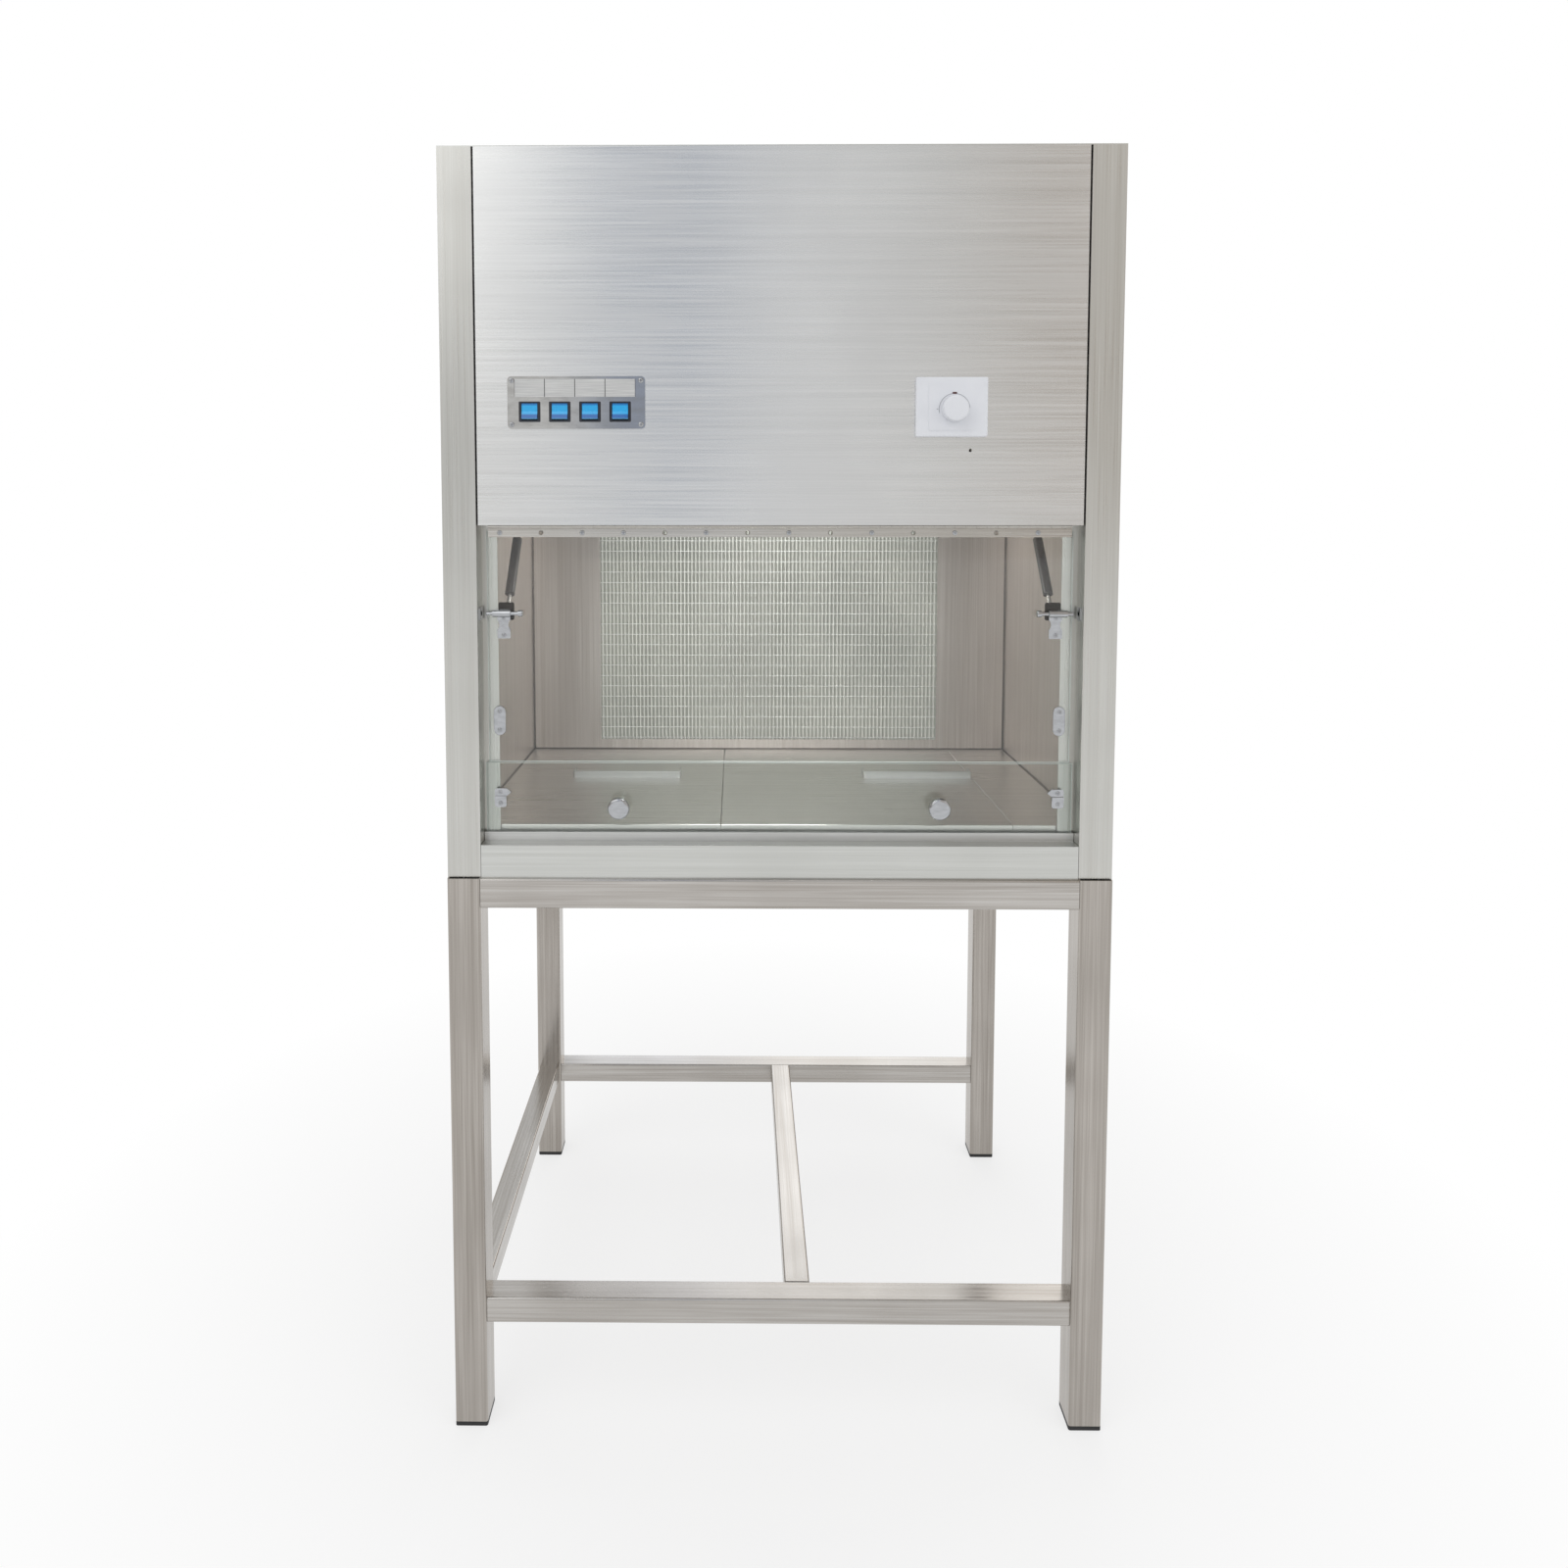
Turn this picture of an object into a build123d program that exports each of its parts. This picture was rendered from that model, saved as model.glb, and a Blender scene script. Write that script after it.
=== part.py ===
from build123d import *
import os
from math import atan2, cos, degrees, hypot, radians, sin

# Horizontal laminar flow hood: a stainless cabinet with a hinged glass sash on a square-tube stand.
# Millimetres, +Z up, the front towards -Y. The origin is on the floor under the middle of the part.

# Overall sizes
overall_width = 1000.0
cabinet_depth = 734.0
cabinet_height = 1082.0      # from the top of the stand to the top of the cover
stand_height = 868.0
sheet = 1.5                  # stainless sheet of every folded panel
seam = 0.3                   # gap left between neighbouring sheets

# Stand of square tube
leg_size = 50.0
leg_wall = 2.0
tube_radius = 3.0            # outer corner radius of the tubes
stand_lip = 6.0              # the stand stands this far in front of the cabinet
rail_size = 45.0
stretcher_size = 40.0
stretcher_bottom = 165.0
middle_stretcher_x = 32.0
foot_flange = 8.0
foot_plug = 20.0
foot_clearance = 0.3
foot_wall = 4.0

# Cabinet shell
post_width = 50.0            # face of each front post
jamb_lap = 24.0              # flange behind the edge of the glass
rear_flange = 25.0
sill_height = 50.0
sill_downturn = 18.0
sill_foot = 25.0
sill_gap = 0.6               # between the sill's end and the post
panel_gap = 3.0              # between the upper panel and the posts
panel_return = 30.0          # folded edge of the upper panel
hinge_shelf = 44.0           # depth of the panel's lower flange, which carries the hinge
pan_flange = 25.0
cover_flange = 20.0
cover_front_gap = 2.0

# Glass
glass_thickness = 5.0
glass_setback = 26.0         # front of the glass behind the front of the cabinet
jamb_gap = 2.0               # between the glass and the jamb flange
channel_wall = 1.2
channel_floor = 1.5
channel_height = 13.0
channel_clearance = 0.15
lower_glass_height = 118.5
sash_height = 351.5
sash_gap = 1.5               # between the sash and the lower glass
sash_side_gap = 9.0          # from the sash to the post
lower_glass_side_gap = 4.0
glass_edge = 0.6             # ground edge

# Piano hinge
knuckle_radius = 2.4
leaf_thickness = 1.2
pin_radius = 1.25
pin_clearance = 0.05
knuckle_count = 55
knuckle_gap = 0.3
hinge_end_gap = 12.0         # from the hinge's end to the post
axis_above_sash = 6.6
leaf_height = 13.0
leaf_root = 2.7              # clearance of a leaf's plate from the hinge axis
fixed_leaf_depth = 24.4
hole_count = 14
hole_pitch = 62.15
hole_radius = 2.2
first_hole = 17.5            # from the hinge's left end
countersink_radius = 3.6

# Work chamber
worktop_height = 72.0        # above the stand
chamber_depth = 550.0
inner_wall_gap = 25.0        # from the inner wall's outer face to the cabinet's side
inner_flange = 45.0
chamber_height = 684.0       # underside of the ceiling above the stand
window_above_worktop = 20.0
window_side_lap = 43.5       # of the bulkhead over the filter's ends
window_end_lap = 30.0        # and over its top and bottom
worktop_front_gap = 1.0
tray_gap = 0.3
tray_seams = (-88.0, 360.0)
tray_edge_radius = 2.0
handle_length = 195.0
handle_arm = 30.0
handle_bar = 3.0
handle_height = 12.0
handle_x = 262.0
handle_setback = 320.0       # front bar behind the front of the cabinet

# Filter
filter_width = 762.0
filter_height = 610.0
filter_depth = 69.0
filter_frame = 20.0
gasket_thickness = 3.0
gasket_width = 15.0
media_recess = 6.0
pleat_pitch = 7.52
pleat_tip = 0.9
media_thickness = 0.5
separator_pitch = 21.0
separator_height = 1.2
separator_depth = 1.0
filter_ledge = 66.0

# Lights
batten_length = 640.0
batten_width = 100.0
batten_height = 30.0
batten_setback = 120.0
lamp_radius = 13.0
lamp_spacing = 48.0
fluorescent_length = 590.0
uv_length = 438.0
lamp_drop = 22.0             # lamp axis under the batten
cap_length = 14.0
cap_wall = 0.4
contact_pin_length = 6.0
contact_pin_radius = 1.2
contact_pin_spread = 12.7
holder_length = 14.0
holder_width = 24.0
holder_tail = 12.0           # holder below the lamp axis
holder_gap = 0.3
holder_recess = 8.0

# Blower
blower_x = -150.0
blower_setback = 548.0
blower_height = 183.0        # shaft above the blower shelf
impeller_radius = 110.0
impeller_width = 100.0
housing_width = 120.0
scroll_small = 118.0         # radius of the scroll at its tongue
scroll_large = 165.0         # radius of the scroll at its outlet
tongue_angle = 300.0
scroll_arcs = 6
inlet_radius = 84.0
outlet_flange = 14.0
blade_count = 32
blade_thickness = 1.4
blade_span = 22.0
blade_rise = 5.0
disc_thickness = 2.0
ring_width = 13.0
hub_radius = 18.0
hub_length = 40.0
shaft_radius = 6.0
shaft_clearance = 0.1
motor_radius = 58.0
motor_length = 92.0
motor_flange_radius = 74.0
motor_flange = 4.0
motor_groove = 3.0

# Prefilter and intake
prefilter_inset = 250.0      # its middle from the cabinet's right side
prefilter_rise = 877.0       # its middle above the stand
prefilter_width = 380.0
prefilter_height = 290.0
prefilter_depth = 20.0
prefilter_frame = 15.0
prefilter_pitch = 12.0
prefilter_media = 1.0
slot_length = 90.0
slot_height = 6.0
slot_columns = 3
slot_rows = 12

# Cable gland
gland_inset = 120.0          # from the cabinet's left side
gland_rise = 772.0           # above the stand
gland_reach = 24.0           # behind the cabinet
gland_thread = 8.0
gland_nut = 12.5
gland_bore = 3.5

# Controls, placed from the lower corners of the upper panel
switch_plate_inset = 147.5
switch_plate_rise = 180.0
switch_plate_width = 202.5
switch_plate_height = 76.5
switch_plate_radius = 6.0
switch_row_shift = 2.0       # the switches' middle left of the plate's
switch_row_drop = 13.5       # and below it
switch_pitch = 44.4
bezel_width = 31.5
bezel_height = 30.0
bezel_thickness = 2.0
switch_body_width = 28.0
switch_body_height = 27.4
switch_body_depth = 22.0
switch_clearance = 0.2
rocker_width = 23.0
rocker_half = 11.3
rocker_crown = 5.8           # rocker's end above its pivot
rocker_waist = 4.0           # rocker's middle above its pivot
rocker_root = 6.0
rocker_tilt = 9.0            # each way from level
rocker_side_gap = 0.3
rocker_end_gap = 0.4
pivot_behind_bezel = 4.5
trunnion_radius = 1.5
trunnion_length = 1.3
dial_inset = 197.0
dial_rise = 172.7
dial_width = 105.0
dial_height = 86.5
dial_thickness = 8.0
dial_square = 68.0
dial_square_rise = 0.8
dial_box = 58.0
dial_box_depth = 24.0
knob_shift = 3.5             # the knob's middle right of the dial plate's
knob_drop = 3.2              # and below it
knob_radius = 19.0
knob_reach = 24.0            # in front of the cabinet
knob_gap = 0.5
knob_shaft_radius = 4.0
knob_shaft_length = 12.0
dot_inset = 168.0
dot_rise = 110.0
dot_radius = 2.5

# Tower bolts on the sash
bolt_rise = 227.5            # above the sash's lower edge
bolt_axis_ahead = 7.0        # bolt axis in front of the glass
bolt_pin_radius = 3.0
bolt_clearance = 0.1
barrel_radius = 5.5
barrel_length = 27.0
barrel_inset = 10.0          # from the edge of the sash
bolt_plate = 1.5
bolt_plate_inset = 25.0
bolt_plate_drop = 16.5       # the plate's middle below the bolt
bolt_plate_width = 20.0
bolt_plate_height = 44.0
bolt_waist = 3.0
bolt_knob_radius = 5.0
bolt_knob_length = 6.5
bolt_travel = 11.0
screw_hole = 2.1
keeper_thickness = 2.0
keeper_width = 16.0
keeper_height = 20.0
keeper_clearance = 0.5

# Small plates and knobs on the glass
plate_thickness = 2.0
plate_inset = 17.0           # from the edge of the sash
catch_rise = 63.5            # above the sash's lower edge
catch_width = 18.0
catch_height = 45.0
catch_hole_spread = 28.0
clip_rise = 64.5             # above the lower edge of the lower glass
clip_height = 29.0
clip_hole_spread = 17.0
clip_band = 6.0
clip_nose = 7.0
pull_inset = 204.0           # from the ends of the lower glass
pull_rise = 53.0
pull_radius = 16.5
pull_length = 24.0
pull_neck = 8.0
pull_shank = 4.0
pull_washer = 9.0
pull_washer_thickness = 2.5
pull_round = 4.0

# Lid stays: a rod from the sash slides in a cylinder from the wall
stay_inset = 12.0            # from the inside of the jamb flanges
stay_sash_back = 16.0        # pivots from the hinge axis
stay_sash_drop = 128.0
stay_wall_back = 100.0
stay_wall_drop = 14.0
stay_cylinder = 7.5
stay_bore = 6.5
stay_rod = 3.0
stay_tube_start = 9.0
stay_tube_end = 112.0
stay_guide = 8.0
stay_eye = 7.0
stay_eye_width = 6.0
stay_rod_eye = 6.0
stay_rod_eye_width = 5.0
stay_pin = 2.5
stay_pin_clearance = 0.05
stay_piston = 6.0
stay_piston_start = 12.0
stay_piston_gap = 0.1
bracket_plate = 2.0
bracket_half = 13.5
ear_thickness = 2.5
ear_gap = 3.0
stud_radius = 4.0
stud_gap = 1.0               # between the wall stud's end and the cylinder

# Places worked out from the sizes above
front = -cabinet_depth / 2
back = cabinet_depth / 2
half = overall_width / 2
top = stand_height + cabinet_height
opening_half = half - post_width
glass_front = front + glass_setback
glass_back = glass_front + glass_thickness
jamb_y = glass_back + jamb_gap
inner_flange_y = jamb_y + sheet
sill_top = stand_height + sill_height
lower_glass_bottom = sill_top + channel_floor
lower_glass_top = lower_glass_bottom + lower_glass_height
lower_glass_half = opening_half - lower_glass_side_gap
sash_bottom = lower_glass_top + sash_gap
sash_top = sash_bottom + sash_height
sash_half = opening_half - sash_side_gap
hinge_y = glass_front - knuckle_radius
hinge_z = sash_top + axis_above_sash
hinge_half = opening_half - hinge_end_gap
panel_bottom = hinge_z + knuckle_radius
panel_top = top - sheet
panel_half = opening_half - panel_gap
clear_half = opening_half - jamb_lap - 1.0      # inside the jamb flanges
pan_top = stand_height + sheet
worktop_z = stand_height + worktop_height
inner_half = half - inner_wall_gap
worktop_front = inner_flange_y + sheet + worktop_front_gap
bulkhead_y = front + chamber_depth
ceiling_z = stand_height + chamber_height
shelf_z = ceiling_z + sheet
window_half = filter_width / 2 - window_side_lap
window_height = filter_height - 2 * window_end_lap
window_bottom = worktop_z + window_above_worktop
window_z = window_bottom + window_height / 2
rear_panel_y = back - 2 * sheet
side_inner = half - sheet
prefilter_x = half - prefilter_inset
prefilter_z = stand_height + prefilter_rise
gland_x = gland_inset - half
gland_z = stand_height + gland_rise
switch_plate_x = switch_plate_inset - panel_half
switch_plate_z = panel_bottom + switch_plate_rise
switch_mid_x = switch_plate_x - switch_row_shift
switch_z = switch_plate_z - switch_row_drop
dial_x = panel_half - dial_inset
dial_z = panel_bottom + dial_rise
knob_x = dial_x + knob_shift
knob_z = dial_z - knob_drop
dot_x = panel_half - dot_inset
dot_z = panel_bottom + dot_rise
bolt_z = sash_bottom + bolt_rise
barrel_outer_x = sash_half - barrel_inset
barrel_inner_x = barrel_outer_x - barrel_length
bolt_plate_x = sash_half - bolt_plate_inset
bolt_plate_z = bolt_z - bolt_plate_drop
plate_x = sash_half - plate_inset
catch_z = sash_bottom + catch_rise
clip_z = lower_glass_bottom + clip_rise
pull_x = lower_glass_half - pull_inset
pull_z = lower_glass_bottom + pull_rise
stay_x = clear_half - stay_inset


def save(piece, name):
    """Label a finished piece and write it as a STEP file."""
    piece.label = name
    export_step(piece, f"parts/{name}.step")


def across(x):
    """Sketch plane at x: sketched as (y, z), extruded towards +X."""
    return Plane.YZ.offset(x)


def upright(y):
    """Sketch plane at y: sketched as (x, z), extruded towards the front."""
    return Plane.XZ.offset(-y)


def level(z):
    """Sketch plane at z: sketched as (x, y), extruded upwards."""
    return Plane.XY.offset(z)


os.makedirs("parts", exist_ok=True)

# Stand: legs, rails, stretchers and foot caps
leg_x = half - leg_size / 2
stand_front = front - stand_lip
leg_front_y = stand_front + leg_size / 2
leg_rear_y = back - leg_size / 2
leg_inner_x = half - leg_size
leg_inner_front = stand_front + leg_size
leg_inner_rear = back - leg_size


def tube_section(size):
    """Square tube section with rounded corners, around each active location."""
    RectangleRounded(size, size, tube_radius)
    RectangleRounded(size - 2 * leg_wall, size - 2 * leg_wall, tube_radius - leg_wall, mode=Mode.SUBTRACT)


for leg_name, leg_y in (("front_legs", leg_front_y), ("rear_legs", leg_rear_y)):
    with BuildPart() as legs:
        with BuildSketch(level(foot_flange)):
            with Locations((-leg_x, leg_y), (leg_x, leg_y)):
                tube_section(leg_size)
        extrude(amount=stand_height - foot_flange)
    save(legs.part, leg_name)

rail_z = stand_height - rail_size / 2
with BuildPart() as top_rails:
    with BuildSketch(across(-leg_inner_x)):
        with Locations((stand_front + rail_size / 2, rail_z), (back - rail_size / 2, rail_z)):
            tube_section(rail_size)
    extrude(amount=2 * leg_inner_x)
    with BuildSketch(upright(leg_inner_rear)):
        with Locations((-half + rail_size / 2, rail_z), (half - rail_size / 2, rail_z)):
            tube_section(rail_size)
    extrude(amount=leg_inner_rear - leg_inner_front)
save(top_rails.part, "top_rails")

stretcher_z = stretcher_bottom + stretcher_size / 2
stretcher_half = stretcher_size / 2
with BuildPart() as stretchers:
    with BuildSketch(across(-leg_inner_x)):
        with Locations((leg_front_y, stretcher_z), (leg_rear_y, stretcher_z)):
            tube_section(stretcher_size)
    extrude(amount=2 * leg_inner_x)
    with BuildSketch(upright(leg_inner_rear)):
        with Locations((-leg_x, stretcher_z)):
            tube_section(stretcher_size)
    extrude(amount=leg_inner_rear - leg_inner_front)
    with BuildSketch(upright(leg_rear_y - stretcher_half)):
        with Locations((middle_stretcher_x, stretcher_z)):
            tube_section(stretcher_size)
    extrude(amount=leg_rear_y - leg_front_y - stretcher_size)
save(stretchers.part, "stretchers")

plug_size = leg_size - 2 * leg_wall - 2 * foot_clearance
with BuildPart() as foot_caps:
    foot_spots = [(x, y) for x in (-leg_x, leg_x) for y in (leg_front_y, leg_rear_y)]
    with BuildSketch(level(0)):
        with Locations(*foot_spots):
            RectangleRounded(leg_size, leg_size, tube_radius)
    extrude(amount=foot_flange)
    chamfer(foot_caps.edges().group_by(Axis.Z)[0], foot_flange / 6)
    with BuildSketch(level(foot_flange)):
        with Locations(*foot_spots):
            RectangleRounded(plug_size, plug_size, tube_radius - leg_wall)
            Rectangle(plug_size - 2 * foot_wall, plug_size - 2 * foot_wall, mode=Mode.SUBTRACT)
    extrude(amount=foot_plug)
save(foot_caps.part, "foot_caps")

# Cabinet sides: each is one folded sheet that makes the side, the front post and the glass jamb
bolt_y = glass_front - bolt_axis_ahead
strike_hole = bolt_pin_radius + keeper_clearance
with BuildPart() as side_panel_right:
    with BuildSketch(level(stand_height)):
        with BuildLine():
            Polyline((half - rear_flange, back), (half, back), (half, front), (opening_half, front),
                     (opening_half, jamb_y), (opening_half - jamb_lap, jamb_y))
            offset(amount=sheet, side=Side.RIGHT)
        make_face()
    extrude(amount=cabinet_height - sheet)
    with BuildSketch(across(opening_half - sheet)):
        with Locations((bolt_y, bolt_z)):
            Circle(strike_hole)
    extrude(amount=3 * sheet, mode=Mode.SUBTRACT)
save(side_panel_right.part, "side_panel_right")

with BuildPart() as side_panel_left:
    mirror(side_panel_right.part, about=Plane.YZ)
save(side_panel_left.part, "side_panel_left")

with BuildPart() as inner_wall_right:
    with BuildSketch(level(pan_top)):
        with BuildLine():
            Polyline((inner_half - inner_flange, inner_flange_y), (inner_half, inner_flange_y),
                     (inner_half, bulkhead_y))
            offset(amount=sheet, side=Side.LEFT)
        make_face()
    extrude(amount=ceiling_z - pan_top)
save(inner_wall_right.part, "inner_wall_right")

with BuildPart() as inner_wall_left:
    mirror(inner_wall_right.part, about=Plane.YZ)
save(inner_wall_left.part, "inner_wall_left")

pan_half = side_inner - seam
pan_front = inner_flange_y + sheet + seam
with BuildPart() as base_pan:
    with BuildSketch(level(stand_height)):
        with Locations((0, (pan_front + rear_panel_y) / 2)):
            Rectangle(2 * pan_half, rear_panel_y - pan_front)
    extrude(amount=pan_flange)
    pan_open = base_pan.faces().sort_by(Axis.Z)[-1:] + base_pan.faces().sort_by(Axis.Y)[:1]
    offset(amount=-sheet, openings=pan_open)
save(base_pan.part, "base_pan")

sill_half = opening_half - sill_gap
sill_back = jamb_y - seam
with BuildPart() as front_sill:
    with BuildSketch(across(-sill_half)):
        with BuildLine():
            Polyline((front + sill_foot, stand_height), (front, stand_height), (front, sill_top),
                     (sill_back, sill_top), (sill_back, sill_top - sill_downturn))
            offset(amount=sheet, side=Side.RIGHT)
        make_face()
    extrude(amount=2 * sill_half)
save(front_sill.part, "front_sill")

bulkhead_half = pan_half - sheet - seam
bulkhead_back = bulkhead_y + sheet
filter_bottom = window_z - filter_height / 2
with BuildPart() as bulkhead:
    with BuildSketch(upright(bulkhead_back)):
        with Locations((0, (pan_top + ceiling_z) / 2)):
            Rectangle(2 * bulkhead_half, ceiling_z - pan_top)
        with Locations((0, window_z)):
            Rectangle(2 * window_half, window_height, mode=Mode.SUBTRACT)
    extrude(amount=sheet)
    with BuildSketch(across(-filter_width / 2)):
        with BuildLine():
            Polyline((bulkhead_back, filter_bottom), (bulkhead_back + filter_ledge, filter_bottom),
                     (bulkhead_back + filter_ledge, filter_bottom - sheet),
                     (bulkhead_back + sheet, filter_bottom - sheet),
                     (bulkhead_back + sheet, filter_bottom - pan_flange),
                     (bulkhead_back, filter_bottom - pan_flange), close=True)
        make_face()
    extrude(amount=filter_width)
save(bulkhead.part, "bulkhead")

# Blower places, which the shelf needs for its outlet hole
blower_y = front + blower_setback
blower_z = shelf_z + blower_height
tongue_y = scroll_small * cos(radians(tongue_angle))
tongue_z = scroll_small * sin(radians(tongue_angle))
outlet_front = blower_y + tongue_y
outlet_back = blower_y + scroll_large
outlet_mid = (outlet_front + outlet_back) / 2
outlet_length = outlet_back - outlet_front

shelf_front = inner_flange_y + sheet + seam
with BuildPart() as ceiling_panel:
    with BuildSketch(across(-pan_half)):
        with BuildLine():
            Polyline((shelf_front, shelf_z + cover_flange), (shelf_front, ceiling_z),
                     (rear_panel_y - seam, ceiling_z))
            offset(amount=sheet, side=Side.LEFT)
        make_face()
    extrude(amount=2 * pan_half)
    with BuildSketch(level(ceiling_z - sheet)):
        with Locations((blower_x, outlet_mid)):
            Rectangle(housing_width - 2 * sheet, outlet_length - 2 * sheet)
    extrude(amount=3 * sheet, mode=Mode.SUBTRACT)
save(ceiling_panel.part, "ceiling_panel")

# Upper front panel, with its cut-outs for the controls
switch_cut_width = 3 * switch_pitch + switch_body_width + 4.0
switch_cut_height = switch_body_height + 2.0
with BuildPart() as upper_front_panel:
    with BuildSketch(upright(front + panel_return)):
        with Locations((0, (panel_bottom + panel_top) / 2)):
            Rectangle(2 * panel_half, panel_top - panel_bottom)
    extrude(amount=panel_return)
    offset(amount=-sheet, openings=upper_front_panel.faces().sort_by(Axis.Y)[-1])
    with BuildSketch(upright(front + hinge_shelf)):
        with Locations((0, panel_bottom + sheet / 2)):
            Rectangle(2 * clear_half, sheet)
    extrude(amount=hinge_shelf - panel_return)
    with BuildSketch(upright(front + 2 * sheet)):
        with Locations((switch_mid_x, switch_z)):
            Rectangle(switch_cut_width, switch_cut_height)
        with Locations((dial_x, dial_z)):
            Rectangle(dial_box + 2.0, dial_box + 2.0)
        with Locations((dot_x, dot_z)):
            Circle(dot_radius)
    extrude(amount=3 * sheet, mode=Mode.SUBTRACT)
save(upper_front_panel.part, "upper_front_panel")

cover_half = side_inner - seam
cover_front = jamb_y + sheet + seam + cover_front_gap
cover_back = rear_panel_y - seam
with BuildPart() as top_cover:
    with BuildSketch(level(panel_top)):
        Rectangle(overall_width, cabinet_depth)
    extrude(amount=sheet)
    with BuildSketch(level(panel_top - cover_flange)):
        with Locations((0, (cover_front + cover_back) / 2)):
            Rectangle(2 * cover_half, cover_back - cover_front)
            Rectangle(2 * (cover_half - sheet), cover_back - cover_front - 2 * sheet, mode=Mode.SUBTRACT)
    extrude(amount=cover_flange)
save(top_cover.part, "top_cover")

rear_half = half - rear_flange / 2
slot_pitch_x = (prefilter_width - 2 * prefilter_frame) / slot_columns
slot_pitch_z = (prefilter_height - 2 * prefilter_frame) / slot_rows
with BuildPart() as rear_panel:
    with BuildSketch(upright(rear_panel_y + sheet)):
        with Locations((0, (pan_top + panel_top) / 2)):
            Rectangle(2 * rear_half, panel_top - pan_top - 2 * seam)
        with Locations((prefilter_x, prefilter_z)):
            with GridLocations(slot_pitch_x, slot_pitch_z, slot_columns, slot_rows):
                SlotOverall(slot_length, slot_height, mode=Mode.SUBTRACT)
        with Locations((gland_x, gland_z)):
            Circle(gland_thread + seam, mode=Mode.SUBTRACT)
    extrude(amount=sheet)
save(rear_panel.part, "rear_panel")

# Worktop: three trays that stand on the base pan, and the two lifting handles welded on them
tray_limits = (-inner_half + sheet + tray_gap, *tray_seams, inner_half - sheet - tray_gap)
tray_back = bulkhead_y - tray_gap
for tray, tray_name in enumerate(("worktop_left", "worktop_middle", "worktop_right")):
    tray_left = tray_limits[tray] + tray_gap
    tray_right = tray_limits[tray + 1] - tray_gap
    with BuildPart() as worktop_tray:
        with BuildSketch(level(pan_top)):
            with Locations(((tray_left + tray_right) / 2, (worktop_front + tray_back) / 2)):
                Rectangle(tray_right - tray_left, tray_back - worktop_front)
        extrude(amount=worktop_z - pan_top)
        fillet(worktop_tray.edges().group_by(Axis.Z)[-1], tray_edge_radius)
        offset(amount=-sheet, openings=worktop_tray.faces().sort_by(Axis.Z)[0])
    save(worktop_tray.part, tray_name)

handle_front = front + handle_setback
with BuildPart() as worktop_handles:
    with BuildSketch(level(worktop_z)):
        with Locations((-handle_x, handle_front + handle_arm / 2), (handle_x, handle_front + handle_arm / 2)):
            Rectangle(handle_length, handle_arm)
    extrude(amount=handle_height)
    fillet(worktop_handles.edges().filter_by(Axis.Z).group_by(Axis.Y)[0], handle_bar + 1.0)
    with BuildSketch(level(worktop_z)):
        with Locations((-handle_x, handle_front + handle_arm / 2 + handle_bar),
                       (handle_x, handle_front + handle_arm / 2 + handle_bar)):
            Rectangle(handle_length - 2 * handle_bar, handle_arm)
    extrude(amount=handle_height, mode=Mode.SUBTRACT)
save(worktop_handles.part, "worktop_handles")


def pleat_outline(left, right, y_low, y_high, pitch, tip, thickness):
    """Closed outline of a pleated sheet between two widths, with flat-tipped folds."""
    folds = int((right - left - 2 * tip) / pitch)
    start = (left + right - folds * pitch) / 2
    low_side = [(left, y_low)]
    high_side = [(left, y_low + thickness)]
    for fold in range(folds + 1):
        middle = start + fold * pitch
        low_side += [(middle - tip, y_low), (middle + tip, y_low)]
        high_side += [(middle - tip + thickness, y_low + thickness),
                      (middle + tip - thickness, y_low + thickness)]
        if fold < folds:
            crest = middle + pitch / 2
            low_side += [(crest - tip + thickness, y_high - thickness),
                         (crest + tip - thickness, y_high - thickness)]
            high_side += [(crest - tip, y_high), (crest + tip, y_high)]
    low_side = low_side[:1] + low_side[2:-1] + [(right, y_low)]
    high_side = high_side[:1] + high_side[2:-1] + [(right, y_low + thickness)]
    return low_side + high_side[::-1]


# Filter cartridge against the back of the bulkhead
gasket_back = bulkhead_back + gasket_thickness
with BuildPart() as hepa_gasket:
    with BuildSketch(upright(gasket_back)):
        with Locations((0, window_z)):
            Rectangle(filter_width, filter_height)
            Rectangle(filter_width - 2 * gasket_width, filter_height - 2 * gasket_width, mode=Mode.SUBTRACT)
    extrude(amount=gasket_thickness)
save(hepa_gasket.part, "hepa_gasket")

with BuildPart() as hepa_frame:
    with BuildSketch(upright(gasket_back + filter_depth)):
        with Locations((0, window_z)):
            Rectangle(filter_width, filter_height)
            Rectangle(filter_width - 2 * filter_frame, filter_height - 2 * filter_frame, mode=Mode.SUBTRACT)
    extrude(amount=filter_depth)
    chamfer(hepa_frame.edges().group_by(Axis.Y)[-1], filter_frame / 20)
save(hepa_frame.part, "hepa_frame")

media_half = filter_width / 2 - filter_frame
media_bottom = window_z - filter_height / 2 + filter_frame
media_height = filter_height - 2 * filter_frame
media_front = gasket_back + media_recess
media_back = gasket_back + filter_depth - media_recess
with BuildPart() as hepa_media:
    with BuildSketch(level(media_bottom)):
        with BuildLine():
            Polyline(*pleat_outline(-media_half, media_half, media_front, media_back,
                                    pleat_pitch, pleat_tip, media_thickness), close=True)
        make_face()
    extrude(amount=media_height)
save(hepa_media.part, "hepa_media")

separator_count = int(media_height / separator_pitch)
with BuildPart() as hepa_separators:
    with BuildSketch(upright(media_front)):
        with Locations((0, window_z)):
            with GridLocations(1, separator_pitch, 1, separator_count):
                Rectangle(2 * media_half, separator_height)
    extrude(amount=separator_depth)
save(hepa_separators.part, "hepa_separators")

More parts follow.
